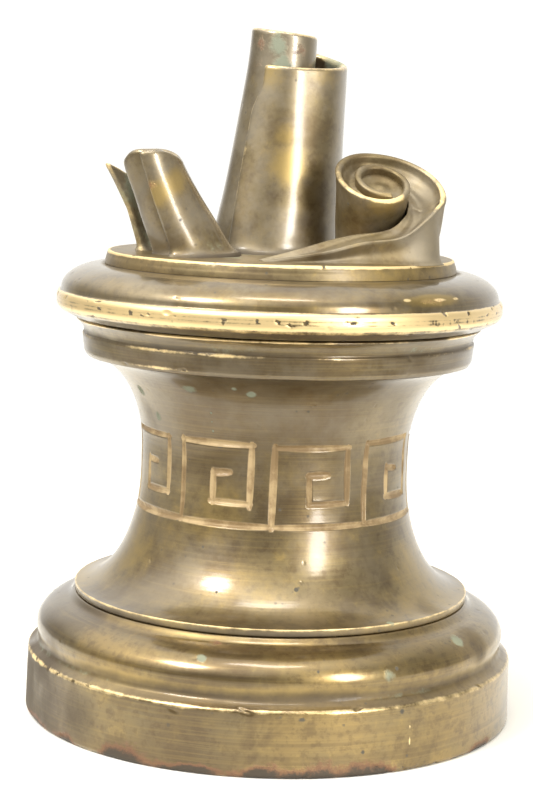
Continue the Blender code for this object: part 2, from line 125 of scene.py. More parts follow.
# Soft windows: azimuth and elevation seen from the object (0 is -Y, 90 is +X), size and power
WINDOWS = {
    "window_left": (-49.0, 44.0, (0.21, 0.17), 2.8),
    "window_right": (38.0, 14.0, (0.15, 0.42), 3.1),
    "ceiling": (-2.0, 72.0, (0.30, 0.09), 1.0),
}

# --- camera, floor and light --------------------------------------------------------------------
def make_camera():
    data = bpy.data.cameras.new("camera")
    data.sensor_width = 36.0
    data.lens = CAMERA_LENS
    data.clip_start = 0.01
    data.clip_end = 10.0
    camera = bpy.data.objects.new("camera", data)
    bpy.context.scene.collection.objects.link(camera)
    turn = Matrix.Rotation(math.radians(-CAMERA_YAW), 4, "Z")
    turn @= Matrix.Rotation(math.radians(90.0 - CAMERA_PITCH), 4, "X")
    turn @= Matrix.Rotation(math.radians(CAMERA_ROLL), 4, "Z")
    camera.matrix_world = Matrix.Translation(CAMERA_PLACE) @ turn
    bpy.context.scene.camera = camera


def make_windows():
    for name, (azimuth, elevation, size, power) in WINDOWS.items():
        az, el = math.radians(azimuth), math.radians(elevation)
        way = Vector((math.sin(az) * math.cos(el), -math.cos(az) * math.cos(el), math.sin(el)))
        data = bpy.data.lights.new(name, "AREA")
        data.shape = "ELLIPSE"
        data.size, data.size_y = size
        data.energy = power
        data.color = WINDOW_TINT
        light = bpy.data.objects.new(name, data)
        bpy.context.scene.collection.objects.link(light)
        light.location = LIGHT_CENTRE + way * LIGHT_DISTANCE
        light.rotation_euler = (-way).to_track_quat("-Z", "Y").to_euler()


def make_world():
    """A white studio that turns to other tones on some of its sides."""
    world = bpy.data.worlds.new("studio")
    bpy.context.scene.world = world
    world.use_nodes = True
    world.node_tree.nodes.clear()
    s = Nodes(world.node_tree)
    way = s.node("ShaderNodeTexCoord").outputs["Generated"]
    colour = STUDIO_WHITE
    for side, reach, tone in STUDIO_SIDES:
        near = s.node("ShaderNodeVectorMath", operation="DOT_PRODUCT")
        s.feed(near.inputs[0], way)
        s.feed(near.inputs[1], side)
        colour = s.blend(s.window(near.outputs["Value"], *reach), colour, tone)
    shade = s.node("ShaderNodeBackground")
    s.feed(shade.inputs["Color"], colour)
    s.feed(s.node("ShaderNodeOutputWorld").inputs["Surface"], shade.outputs[0])


def floor_material():
    """Pale and matt, greyer towards the camera by painted shade. It fades out far from the object and is
    clear from below.
    """
    s = Shader("floor_white")
    s.tree.nodes.remove(s.surface)
    x, y, _ = s.axes()
    colour = s.blend(s.window(y, *FLOOR_GREY_REACH), FLOOR_WHITE, FLOOR_GREY)
    diffuse = s.node("ShaderNodeBsdfDiffuse")
    s.feed(diffuse.inputs["Color"], s.tint(colour, s.noise(30.0, 3.0, 0.5), 0.03, FLOOR_GREY))
    fade = s.window(s.distance(x, y), *FLOOR_FADE_REACH)
    below = s.node("ShaderNodeNewGeometry").outputs["Backfacing"]
    both = s.node("ShaderNodeMixShader")
    s.feed(both.inputs["Fac"], s.math("MAXIMUM", fade, below))
    s.feed(both.inputs[1], diffuse.outputs[0])
    s.feed(both.inputs[2], s.node("ShaderNodeBsdfTransparent").outputs[0])
    s.feed(s.tree.nodes["Material Output"].inputs["Surface"], both.outputs[0])
    return s.material


def make_floor():
    mesh = bpy.data.meshes.new("floor")
    corners = [(x * FLOOR_HALF, y * FLOOR_HALF, 0.0) for x, y in ((-1, -1), (1, -1), (1, 1), (-1, 1))]
    mesh.from_pydata(corners, [], [(0, 1, 2, 3)])
    mesh.materials.append(floor_material())
    floor = bpy.data.objects.new("floor", mesh)
    bpy.context.scene.collection.objects.link(floor)
    floor.location.z = -0.0001


def light_studio():
    make_world()
    make_windows()
    make_floor()
    view = bpy.context.scene.view_settings
    view.view_transform = "Standard"
    view.look = "None"
    view.exposure = 0.0


# --- shader building ----------------------------------------------------------------------------
class Nodes:
    """A node tree, with short calls for the nodes used here."""

    def __init__(self, tree):
        self.tree = tree

    def node(self, kind, **settings):
        made = self.tree.nodes.new(kind)
        for key, value in settings.items():
            setattr(made, key, value)
        return made

    def feed(self, socket, value):
        if isinstance(value, bpy.types.NodeSocket):
            self.tree.links.new(value, socket)
        else:
            socket.default_value = value

    def math(self, operation, a, b=0.0):
        made = self.node("ShaderNodeMath", operation=operation)
        self.feed(made.inputs[0], a)
        self.feed(made.inputs[1], b)
        return made.outputs[0]

    def times(self, a, b):
        return self.math("MULTIPLY", a, b)

    def plus(self, a, b):
        return self.math("ADD", a, b)

    def window(self, value, low, high):
        """0 below low, 1 above high, and a smooth step between; low may be the greater."""
        made = self.node("ShaderNodeMapRange", interpolation_type="SMOOTHSTEP")
        self.feed(made.inputs["Value"], value)
        self.feed(made.inputs["From Min"], low)
        self.feed(made.inputs["From Max"], high)
        return made.outputs["Result"]

    def blend(self, factor, a, b):
        """Colour a where factor is 0 and b where it is 1."""
        made = self.node("ShaderNodeMix", data_type="RGBA")
        self.feed(made.inputs["Factor"], factor)
        for socket, value in ((made.inputs[6], a), (made.inputs[7], b)):
            self.feed(socket, value if isinstance(value, bpy.types.NodeSocket) else (*value, 1.0))
        return made.outputs[2]

    def tint(self, colour, factor, share, tone):
        """Turns a colour to a tone by a share of the factor."""
        return self.blend(self.times(factor, share), colour, tone)


class Shader(Nodes):
    """A material with one Principled surface."""

    def __init__(self, name):
        self.material = bpy.data.materials.new(name)
        self.material.use_nodes = True
        super().__init__(self.material.node_tree)
        self.surface = self.tree.nodes["Principled BSDF"]
        self.place = self.node("ShaderNodeTexCoord").outputs["Object"]

    def attribute(self, name):
        return self.node("ShaderNodeAttribute", attribute_name=name).outputs["Fac"]

    def axes(self):
        split = self.node("ShaderNodeSeparateXYZ")
        self.feed(split.inputs[0], self.place)
        return split.outputs

    def distance(self, x, y):
        return self.math("SQRT", self.plus(self.times(x, x), self.times(y, y)))

    def stretched(self, x, y, z):
        made = self.node("ShaderNodeMapping")
        self.feed(made.inputs["Scale"], (x, y, z))
        self.feed(made.inputs["Vector"], self.place)
        return made.outputs["Vector"]

    def rings(self, along, across):
        """A space squeezed round the turning axis, for fine lines left by turning."""
        x, y, z = self.axes()
        height = self.plus(z, self.times(self.distance(x, y), 0.8))
        join = self.node("ShaderNodeCombineXYZ")
        for socket, value, scale in zip(join.inputs, (x, y, height), (along, along, across)):
            self.feed(socket, self.times(value, scale))
        return join.outputs[0]

    def noise(self, scale, detail, roughness, vector=None, distortion=0.0):
        made = self.node("ShaderNodeTexNoise")
        self.feed(made.inputs["Vector"], vector or self.place)
        self.feed(made.inputs["Scale"], scale)
        self.feed(made.inputs["Detail"], detail)
        self.feed(made.inputs["Roughness"], roughness)
        self.feed(made.inputs["Distortion"], distortion)
        return made.outputs["Fac"]

    def cells(self, scale):
        made = self.node("ShaderNodeTexVoronoi")
        self.feed(made.inputs["Vector"], self.place)
        self.feed(made.inputs["Scale"], scale)
        return made.outputs["Distance"]

    def ragged(self, mark, noise, amount):
        """A painted mark with its border broken up by a noise."""
        return self.plus(mark, self.times(self.math("SUBTRACT", noise, 0.5), amount))

    def bump(self, height, strength, distance, normal=None):
        made = self.node("ShaderNodeBump")
        self.feed(made.inputs["Height"], height)
        self.feed(made.inputs["Strength"], strength)
        self.feed(made.inputs["Distance"], distance)
        if normal is not None:
            self.feed(made.inputs["Normal"], normal)
        return made.outputs["Normal"]

    def finish(self, colour, roughness, metallic, normal):
        self.feed(self.surface.inputs["Base Color"], colour)
        self.feed(self.surface.inputs["Roughness"], roughness)
        self.feed(self.surface.inputs["Metallic"], metallic)
        self.feed(self.surface.inputs["Normal"], normal)
        return self.material

# Bronze tones, from bare worn metal to the deepest patina
GOLD = (0.86, 0.66, 0.34)
YELLOW = (0.40, 0.280, 0.088)
WARM = (0.252, 0.174, 0.064)
OLIVE = (0.188, 0.143, 0.070)
BROWN = (0.105, 0.068, 0.030)
# painted glare: a pale grey that lifts the metal's tone
GLARE_HAZE = (0.280, 0.246, 0.185)
# the dark of dirt and of painted shade
SOOT_AND_SHADE = (0.062, 0.047, 0.032)
RUST = (0.22, 0.098, 0.052)
VERDIGRIS = (0.235, 0.27, 0.20)
INK = (0.06, 0.058, 0.05)
CUT_BROWN = (0.27, 0.18, 0.085)
CUT_TAN = (0.50, 0.37, 0.20)


def aged_bronze(name, warm=0.5, brushed=0.5, grey=0.0, matt=0.0, coat=0.8, engraved=False):
    """Old turned bronze. Point marks on the mesh say where it is worn, dirty, in painted shade, green, yellow
    or stained.
    """
    s = Shader(name)
    wear, grime, green, yellow, dot, stain = (
        s.attribute(mark) for mark in ("wear", "grime", "green", "yellow", "dot", "stain"))
    cloud = s.noise(95.0, 5.0, 0.62)
    drift = s.noise(30.0, 3.0, 0.55)
    fine = s.noise(420.0, 5.0, 0.7)
    lines = s.noise(1.0, 3.0, 0.65, vector=s.rings(55.0, 4600.0))
    bands = s.noise(1.0, 2.0, 0.5, vector=s.rings(22.0, 1200.0))

    tone = s.plus(s.times(cloud, 0.6), s.times(drift, 0.5))
    colour = s.blend(s.window(tone, 0.44 + 0.12 * (1.0 - warm), 0.68), OLIVE, WARM)
    mottling = (
        (fine, 0.56, 0.74, 0.35, YELLOW),
        (drift, 0.52, 0.36, 0.75, BROWN),
        (fine, 0.47, 0.33, 0.55, BROWN),
        (s.noise(170.0, 4.0, 0.6, distortion=0.4), 0.49, 0.35, 0.55, BROWN),
        (s.noise(1000.0, 4.0, 0.65), 0.50, 0.36, 0.40, BROWN),
        (lines, 0.46, 0.66, 0.28 * brushed, YELLOW),
        (bands, 0.46, 0.33, 0.50 * brushed, BROWN),
        # painted glare: a pale grey haze over the tone, as strong as grey asks
        (cloud, 0.38, 0.62, grey, GLARE_HAZE),
    )
    for noise, low, high, share, shade in mottling:
        colour = s.tint(colour, s.window(noise, low, high), share, shade)

    gilded = s.window(s.ragged(yellow, fine, 0.7), 0.20, 0.90)
    # this mark darkens the colour for dirt and for painted shade
    dirt_and_shade = s.window(s.ragged(grime, cloud, 0.9), 0.40, 0.95)
    rubbed = s.window(s.ragged(wear, fine, 0.9), 0.36, 0.72)
    crust = s.window(s.ragged(green, fine, 1.3), 0.42, 0.85)
    pits = s.window(s.cells(520.0), 0.15, 0.05)
    pitted = s.times(pits, s.window(s.noise(140.0, 2.0, 0.5), 0.50, 0.60))
    spotted = s.window(s.ragged(dot, fine, 0.5), 0.35, 0.62)
    blot = s.math("MAXIMUM", s.times(pitted, 0.75), spotted)
    creep = s.ragged(stain, s.noise(360.0, 8.0, 0.85), 2.2)
    creep = s.times(creep, s.window(stain, 0.02, 0.25))
    rusty = s.times(s.window(creep, 0.28, 0.70), 0.75)
    soaked = s.window(creep, 0.50, 1.05)
    for mark, share, shade in ((gilded, 0.80, YELLOW), (dirt_and_shade, 0.85, SOOT_AND_SHADE), (rubbed, 1.0, GOLD),
                               (crust, 0.75, VERDIGRIS), (blot, 0.85, INK), (rusty, 1.0, RUST),
                               (soaked, 1.0, SOOT_AND_SHADE)):
        colour = s.tint(colour, mark, share, shade)

    dull = s.math("MAXIMUM", s.math("MAXIMUM", dirt_and_shade, crust), s.math("MAXIMUM", blot, rusty))
    raised = s.math("SUBTRACT", dull, blot)
    if engraved:
        cut = s.window(s.attribute("cut"), 0.15, 0.6)
        tan = s.blend(s.window(s.noise(300.0, 4.0, 0.6), 0.40, 0.62), CUT_BROWN, CUT_TAN)
        colour = s.tint(colour, cut, 0.85, tan)
        dull = s.math("MAXIMUM", dull, s.times(cut, 0.75))
    rough = 0.24 + 0.16 * matt
    for factor, share in ((cloud, 0.12), (fine, 0.08), (dull, 0.32), (rubbed, 0.12)):
        rough = s.plus(rough, s.times(factor, share))
    metal = s.math("SUBTRACT", 0.92 - 0.30 * matt, s.times(dull, 0.6))
    normal = s.bump(lines, 0.30 * brushed + 0.03, 0.00004)
    grain = s.noise(1700.0, 3.0, 0.6)
    for height, strength, deep in ((cloud, 0.12, 0.00015), (fine, 0.22, 0.00008), (grain, 0.15, 0.00002),
                                   (raised, 0.45, 0.0001)):
        normal = s.bump(height, strength, deep, normal)
    if coat > 0.0:
        s.feed(s.surface.inputs["Coat Weight"], s.times(s.math("SUBTRACT", 1.0, dull), coat))
        s.feed(s.surface.inputs["Coat Roughness"], 0.12 + 0.12 * matt)
    return s.finish(colour, rough, metal, normal)


def smooth(t):
    t = np.clip(t, 0.0, 1.0)
    return t * t * (3.0 - 2.0 * t)


def mix(a, b, t):
    return a + (b - a) * t


# --- turned castings ----------------------------------------------------------------------------
def corner_rows(keys):
    """The outline with each key's corner rounded: (radius, z, key it belongs to)."""
    rows = []
    for i, key in enumerate(keys):
        here = Vector(key[:2])
        rounding = key[2]
        if rounding <= 0.0 or i in (0, len(keys) - 1):
            rows.append((here.x, here.y, i))
            continue
        back = Vector(keys[i - 1][:2]) - here
        ahead = Vector(keys[i + 1][:2]) - here
        start = here + back.normalized() * min(rounding, back.length * 0.45)
        end = here + ahead.normalized() * min(rounding, ahead.length * 0.45)
        for t in (0.0, 0.25, 0.5, 0.75, 1.0):
            point = start.lerp(here, t).lerp(here.lerp(end, t), t)
            rows.append((point.x, point.y, i))
    return rows


WEAR_REACH = 0.22           # how far wear spreads beside a sharp edge


def outline(keys, spacing):
    """Dense rows (radius, z, wear, grime) along keys: radius, z and, where not 0, rounding, wear, grime."""
    keys = [(*key, 0.0, 0.0, 0.0)[:5] for key in keys]
    rows = corner_rows(keys)
    points = np.array([row[:2] for row in rows])
    steps = np.hypot(*np.diff(points, axis=0).T)
    run = np.concatenate([[0.0], np.cumsum(steps)])
    stations = [run[0]]
    for start, length in zip(run[:-1], steps):
        count = max(1, math.ceil(length / spacing))
        stations += [start + length * (k + 1) / count for k in range(count)]
    stations = np.array(stations)
    wear = np.zeros_like(stations)
    grime = np.zeros_like(stations)
    for i, key in enumerate(keys):
        at = np.mean([run[j] for j, row in enumerate(rows) if row[2] == i])
        reach = WEAR_REACH + key[2]
        wear = np.maximum(wear, key[3] * np.exp(-((stations - at) / reach) ** 2))
        # the last column darkens round its key, for dirt and for painted shade in the hollows
        grime = np.maximum(grime, key[4] * np.exp(-((stations - at) / (2.2 * (0.13 + reach))) ** 2))
    return np.stack([np.interp(stations, run, points[:, 0]), np.interp(stations, run, points[:, 1]),
                     wear, grime], axis=1)


def curve_keys(centre, radii, start, end, count):
    """Keys along an elliptical arc, angles in degrees."""
    return [(centre[0] + radii[0] * math.cos(a), centre[1] + radii[1] * math.sin(a))
            for a in np.radians(np.linspace(start, end, count))]


def covered_keys(places):
    """Keys of a surface that lies against other pieces."""
    return [(*place, 0.0, 0.0, 0.2) for place in places]


def vectors(x, y, z):
    return np.stack(np.broadcast_arrays(x, y, z), axis=-1).astype(float)


def quads(index, wrap=False):
    """Four-cornered faces between the neighbours in a grid of point numbers."""
    if wrap:
        index = np.concatenate([index, index[:, :1]], axis=1)
    return np.stack([index[:-1, :-1], index[1:, :-1], index[1:, 1:], index[:-1, 1:]], axis=-1).reshape(-1, 4)


def weld_poles(shape, poles):
    """Numbers a grid's points so that each pole row is one point; also says which points are kept."""
    index = np.arange(shape[0] * shape[1]).reshape(shape)
    keep = np.ones(index.size, bool)
    for row in poles:
        keep[index[row, 1:]] = False
        index[row] = index[row, 0]
    return (np.cumsum(keep) - 1)[index], keep


def corners_once(faces):
    """Faces as tuples; a corner repeated at a pole is left out."""
    return [tuple(dict.fromkeys(face)) for face in faces.tolist()]


class Casting:
    """A dense turned surface whose points can be pushed in and out before it becomes a mesh."""

    def __init__(self, rows, segments, closed=True):
        self.radius = rows[:, 0:1]
        self.height = rows[:, 1:2]
        self.segments = segments
        self.closed = closed
        self.theta = np.linspace(0.0, math.tau, segments, endpoint=False)[None, :]
        self.run = np.concatenate([[0.0], np.cumsum(np.hypot(*np.diff(rows[:, :2], axis=0).T))])
        tangent = np.gradient(rows[:, :2], self.run, axis=0)
        tangent /= np.hypot(tangent[:, 0:1], tangent[:, 1:2])
        self.normal = np.stack([-tangent[:, 1], tangent[:, 0]], axis=1)
        self.push = np.zeros((len(rows), segments))
        self.marks = {"wear": np.repeat(rows[:, 2:3], segments, axis=1),
                      "grime": np.repeat(rows[:, 3:4], segments, axis=1),
                      "dot": np.zeros_like(self.push)}

    def waves(self, seed, count, finest, along=None):
        """Smooth seamless unevenness round the axis, about -1 to 1."""
        along = self.height if along is None else along
        draw = random.Random(seed)
        total = np.zeros_like(self.push)
        for _ in range(count):
            turns = draw.randint(1, finest)
            pitch = draw.uniform(-0.12, 0.12) * turns
            total += np.sin(turns * self.theta + pitch * along + draw.uniform(0, math.tau))
        return total / math.sqrt(count)

    def paint(self, mark, painted):
        self.marks[mark] = np.maximum(self.marks.get(mark, 0.0), painted)

    def spots(self, mark, spots):
        """Paints spots of (place in mm, size, strength and how far stretched along the turning)."""
        x, y = self.radius * np.cos(self.theta), self.radius * np.sin(self.theta)
        for place, size, strength, *wide in spots:
            angle = math.atan2(place[1], place[0])
            along = -(x - place[0]) * math.sin(angle) + (y - place[1]) * math.cos(angle)
            off = (x - place[0]) * math.cos(angle) + (y - place[1]) * math.sin(angle)
            along /= wide[0] if wide else 1.0
            gap = (along ** 2 + off ** 2 + (self.height - place[2]) ** 2) / size ** 2
            self.paint(mark, strength * np.exp(-gap ** 1.5))

    def turned_from(self, angle):
        """Angle round the axis from another angle, -pi to pi."""
        return (self.theta - angle + math.pi) % math.tau - math.pi

    def run_to(self, radius, z):
        """Distance along the outline to the row nearest a place."""
        gap = np.hypot(self.radius - radius, self.height - z)
        return self.run[int(np.argmin(gap))]

    def nick(self, angle, run_at, long, wide, turn, depth, dark=0.6):
        """A small dent at a place along the outline; turn is its slant in radians."""
        across = self.turned_from(angle) * self.radius
        down = self.run[:, None] - run_at
        a = across * math.cos(turn) + down * math.sin(turn)
        b = -across * math.sin(turn) + down * math.cos(turn)
        shape = np.clip(1.0 - (a / long) ** 2 - (b / wide) ** 2, 0.0, 1.0)
        self.push -= depth * np.sqrt(shape)
        self.marks["wear"] *= 1.0 - dark * (shape > 0.15)
        self.paint("dot", 0.85 * dark * shape)

    def nick_edge(self, seed, count, place, spread, size, depth):
        """Dents scattered round the edge at a (radius, z) place."""
        draw = random.Random(seed)
        for _ in range(count):
            self.nick(draw.uniform(0, math.tau), self.run_to(*place) + draw.gauss(0, spread),
                      size * draw.uniform(0.4, 1.5), size * draw.uniform(0.25, 0.55),
                      draw.uniform(-1.3, 1.3), depth * draw.uniform(0.5, 1.3), draw.uniform(0.3, 0.8))

    def mesh(self, name, material, slot, body, node, split=0):
        """Makes the piece. split leaves out that many segments at the back, and closes the two ends."""
        radius = self.radius + self.push * self.normal[:, 0:1]
        z = self.height + self.push * self.normal[:, 1:2]
        grid, keep = weld_poles(self.push.shape, np.flatnonzero(self.radius < 1e-6))
        points = vectors(radius * np.cos(self.theta), radius * np.sin(self.theta), z).reshape(-1, 3)[keep]
        rows = np.concatenate([grid, grid[:1]]) if self.closed else grid
        faces = quads(rows, wrap=True).reshape(-1, self.segments, 4)
        ends = []
        if split:
            first = self.segments // 4
            faces = np.delete(faces, np.arange(first, first + split), axis=1)
            ends = [grid[:, first].tolist(), grid[::-1, first + split].tolist()]
        faces = corners_once(faces.reshape(-1, 4)) + ends
        piece = add_piece(name, points, faces, material, body, node)
        for label, values in self.marks.items():
            add_mark(piece.data, label, values.ravel()[keep])
        return piece


def add_mark(mesh, label, values):
    attribute = mesh.attributes.new(label, "FLOAT", "POINT")
    attribute.data.foreach_set("value", np.ascontiguousarray(values, np.float32))


def add_piece(name, points, faces, material, body, node):
    """A piece from points in mm, riding a body and, unless node is None, taking a node's place."""
    mesh = bpy.data.meshes.new(name)
    mesh.from_pydata((points * MM).tolist(), [], faces)
    mesh.materials.append(material)
    mesh.shade_smooth()
    piece = bpy.data.objects.new(name, mesh)
    bpy.context.scene.collection.objects.link(piece)
    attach(piece, body)
    if node:
        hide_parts(node)
    return piece


# Dark rusty blots that creep up the foot's lower edge: angle, half width, height in mm
INK_BLOTS = (
    (-158, 7, 1.0), (-141, 4, 1.3), (-126, 3, 1.6), (-121, 5, 2.4), (-108, 6, 1.0), (-104, 4, 1.3),
    (-92, 4, 1.9), (-86, 5, 1.4), (-78, 4, 2.1), (-70, 4, 2.0), (-64, 3, 1.5), (-33, 5, 1.3),
    (20, 9, 2.4), (58, 6, 1.7), (95, 10, 2.8), (131, 5, 1.8), (170, 8, 2.2),
)


def ink_stain(foot):
    z = foot.height
    total = 0.16 * np.exp(-(z / 0.9) ** 2) + 0.0 * foot.theta
    for angle, half_width, tall in INK_BLOTS:
        gap = foot.turned_from(math.radians(angle)) / math.radians(half_width)
        total += np.exp(-gap ** 2) * np.exp(-(z / tall) ** 2)
    return np.clip(total, 0.0, 1.15) * (foot.radius > 31.0)


def scratch(casting, angle, z, long):
    """A bright thin scratch that runs down from z."""
    across = casting.turned_from(angle) * casting.radius + 0.05 * np.sin(3.0 * casting.height)
    along = (casting.height < z) & (casting.height > z - long) & (casting.radius > 31.0)
    line = np.exp(-(across / 0.13) ** 2) * along
    casting.push -= 0.05 * line
    casting.paint("wear", line)


def make_foot():
    bore = 6.2
    outer = [(WAIST_FLANGE - 1.5, FOOT_TOP + 0.8, 0.0, 0.0, 0.6), (26.72, FOOT_TOP + 0.75, 0.15, 0.1, 0.15)]
    outer += [(27.35, FOOT_TOP - 0.02, 0.5, 0.0, 0.2)] + curve_keys((25.9, 11.4), (5.75, 3.8), 68, -12, 22)
    outer += [(31.35, 9.75, 0.35, 0.0, 0.75), (31.55, 9.1, 0.3, 0.0, 0.6), (32.0, 8.75, 0.3, 0.1, 0.35)]
    outer += [(*FOOT_ARRIS, 0.30, 0.56), (FOOT_RADIUS, 0.35, 0.2, 0.15, 0.1)]
    outer += [(FOOT_RADIUS - 0.25, 0.0, 0.15, 0.5, 0.3)]
    under = [(FOOT_RADIUS - 0.25, 0.0, 0.0, 0.3, 0.2), (RECESS_RADIUS + 0.3, 0.0, 0.1, 0.4, 0.2)]
    under += [(RECESS_RADIUS, 0.3, 0.1, 0.2, 0.4), (RECESS_RADIUS, RECESS_TOP, 0.2, 0.0, 0.8)]
    under += [(bore, RECESS_TOP, 0.1, 0.0, 0.4), (bore, FOOT_TOP, 0.1, 0.0, 0.4)]
    rows = np.concatenate([outline(outer, 0.22), outline(under, 0.7)[1:]])
    foot = Casting(rows, ROUND)
    foot.push += 0.012 * foot.waves(3, 9, 26) * (foot.radius > 29.0)
    foot.nick_edge(11, 34, FOOT_ARRIS, 0.25, 0.5, 0.14)
    foot.nick_edge(12, 16, (FOOT_RADIUS, 4.0), 2.2, 0.5, 0.06)
    foot.nick_edge(13, 26, (FOOT_RADIUS, 0.4), 0.3, 0.7, 0.16)
    foot.nick_edge(14, 14, (30.5, 13.5), 1.0, 0.45, 0.06)
    foot.marks["stain"] = ink_stain(foot)
    foot.spots("grime", [((-29.5, -14.5, 5.0), 9.0, 0.92), ((-24.0, -22.5, 4.0), 6.0, 0.72),
                         ((-31.5, -9.0, 3.5), 8.0, 1.0), ((-32.0, 2.0, 4.0), 9.0, 0.85),
                         ((-28.5, -11.0, 12.0), 4.0, 0.50), ((26.5, -15.0, 13.0), 4.5, 0.78),
                         ((20.0, -26.0, 5.0), 7.0, 0.42), ((-2.0, -33.0, 2.5), 4.0, 0.45, 2.5)])
    ledge = np.exp(-((foot.radius - 31.3) ** 2 + (foot.height - 10.3) ** 2) / 0.5)
    foot.marks["yellow"] = 0.10 + 0.6 * ledge + 0.24 * foot.waves(22, 7, 8)
    cove = np.exp(-((foot.radius - 31.6) ** 2 + (foot.height - 9.3) ** 2) / 0.5)
    foot.marks["green"] = 0.60 * cove * (0.6 + 0.6 * foot.waves(23, 6, 5))
    foot.spots("green", [((24.2, -17.6, 14.2), 1.3, 1.0), ((-8.1, -29.2, 13.8), 0.8, 0.75),
                         ((15.1, -27.8, 11.8), 1.2, 0.7), ((-19.0, 22.0, 13.6), 1.6, 0.9),
                         ((27.0, 13.0, 12.4), 1.1, 0.8)])
    foot.spots("dot", [((16.0, -26.9, 12.7), 0.4, 0.7), ((6.2, -30.5, 12.9), 0.3, 0.7),
                       ((4.4, -32.5, 7.4), 0.4, 0.65, 1.6), ((9.5, -31.4, 6.6), 0.3, 0.6),
                       ((12.0, -30.6, 3.0), 0.35, 0.8), ((16.8, -28.1, 7.6), 0.5, 0.7),
                       ((-12.0, -30.7, 5.6), 0.5, 0.6), ((-29.0, 15.0, 5.0), 0.6, 0.8)])
    foot.spots("stain", [((-6.8, -26.6, 14.9), 0.55, 0.55, 2.6)])
    scratch(foot, math.atan2(-27.6, 17.8), 5.6, 2.6)
    material = aged_bronze("foot_bronze", warm=0.85, brushed=0.6)
    foot.mesh("foot_casting", material, "aged_bronze", "body", "foot")


def meander_strokes(pitch, low, high, draw):
    """Strokes of one repeat of a Greek key in (distance round, height), with a graver's small misses."""
    path = [(0.00, 0.00), (0.00, 1.00), (0.78, 1.00), (0.78, 0.28), (0.36, 0.28), (0.36, 0.64), (0.54, 0.64)]
    points = [Vector((x * pitch + draw.gauss(0, SLIP), low + y * (high - low) + draw.gauss(0, SLIP)))
              for x, y in path]
    strokes = []
    for a, b in zip(points[:-1], points[1:]):
        over = (b - a).normalized() * draw.uniform(0.05, 0.45)
        strokes.append((a - over * 0.4, b + over))
    strokes.append((Vector((0.0, low)), Vector((pitch, low + draw.gauss(0, SLIP)))))
    return strokes


def engrave(waist):
    """V-shaped strokes of a plain meander cut round the waist."""
    draw = random.Random(5)
    girth = math.tau * BAND_RADIUS
    pitch = girth / BAND_REPEATS
    height = waist.height[:, 0]
    inside = (height > BAND_LOW - 1.5) & (height < BAND_HIGH + 1.5) & (waist.radius[:, 0] > 17.0)
    rows = np.flatnonzero(inside)
    around = (waist.theta + 0.5 * math.pi) % math.tau * BAND_RADIUS
    z = waist.height[rows]
    nearest = np.full((len(rows), waist.segments), 9.0)
    for repeat in range(BAND_REPEATS):
        for a, b in meander_strokes(pitch, BAND_LOW + 0.8, BAND_HIGH - 0.8, draw):
            width = draw.uniform(0.85, 1.15)
            for wrap in (0.0, -girth, girth):
                ax, bx = a.x + repeat * pitch + wrap, b.x + repeat * pitch + wrap
                if max(ax, bx) < -1.0 or min(ax, bx) > girth + 1.0:
                    continue
                dx, dz = bx - ax, b.y - a.y
                t = np.clip(((around - ax) * dx + (z - a.y) * dz) / (dx * dx + dz * dz), 0.0, 1.0)
                gap = np.hypot(around - ax - t * dx, z - a.y - t * dz)
                taper = 0.55 + 0.45 * np.sin(math.pi * np.clip(t, 0.03, 0.97)) ** 0.4
                nearest = np.minimum(nearest, gap / (width * taper * STROKE_HALF))
    groove = np.clip(1.0 - nearest, 0.0, 1.0)
    burr = np.exp(-((nearest - 1.12) / 0.16) ** 2)
    waist.push[rows] += -STROKE_DEPTH * groove ** 0.85 + 0.02 * burr
    waist.marks["cut"] = np.zeros_like(waist.push)
    waist.marks["cut"][rows] = np.clip((1.15 - nearest) * 2.5, 0.0, 1.0)


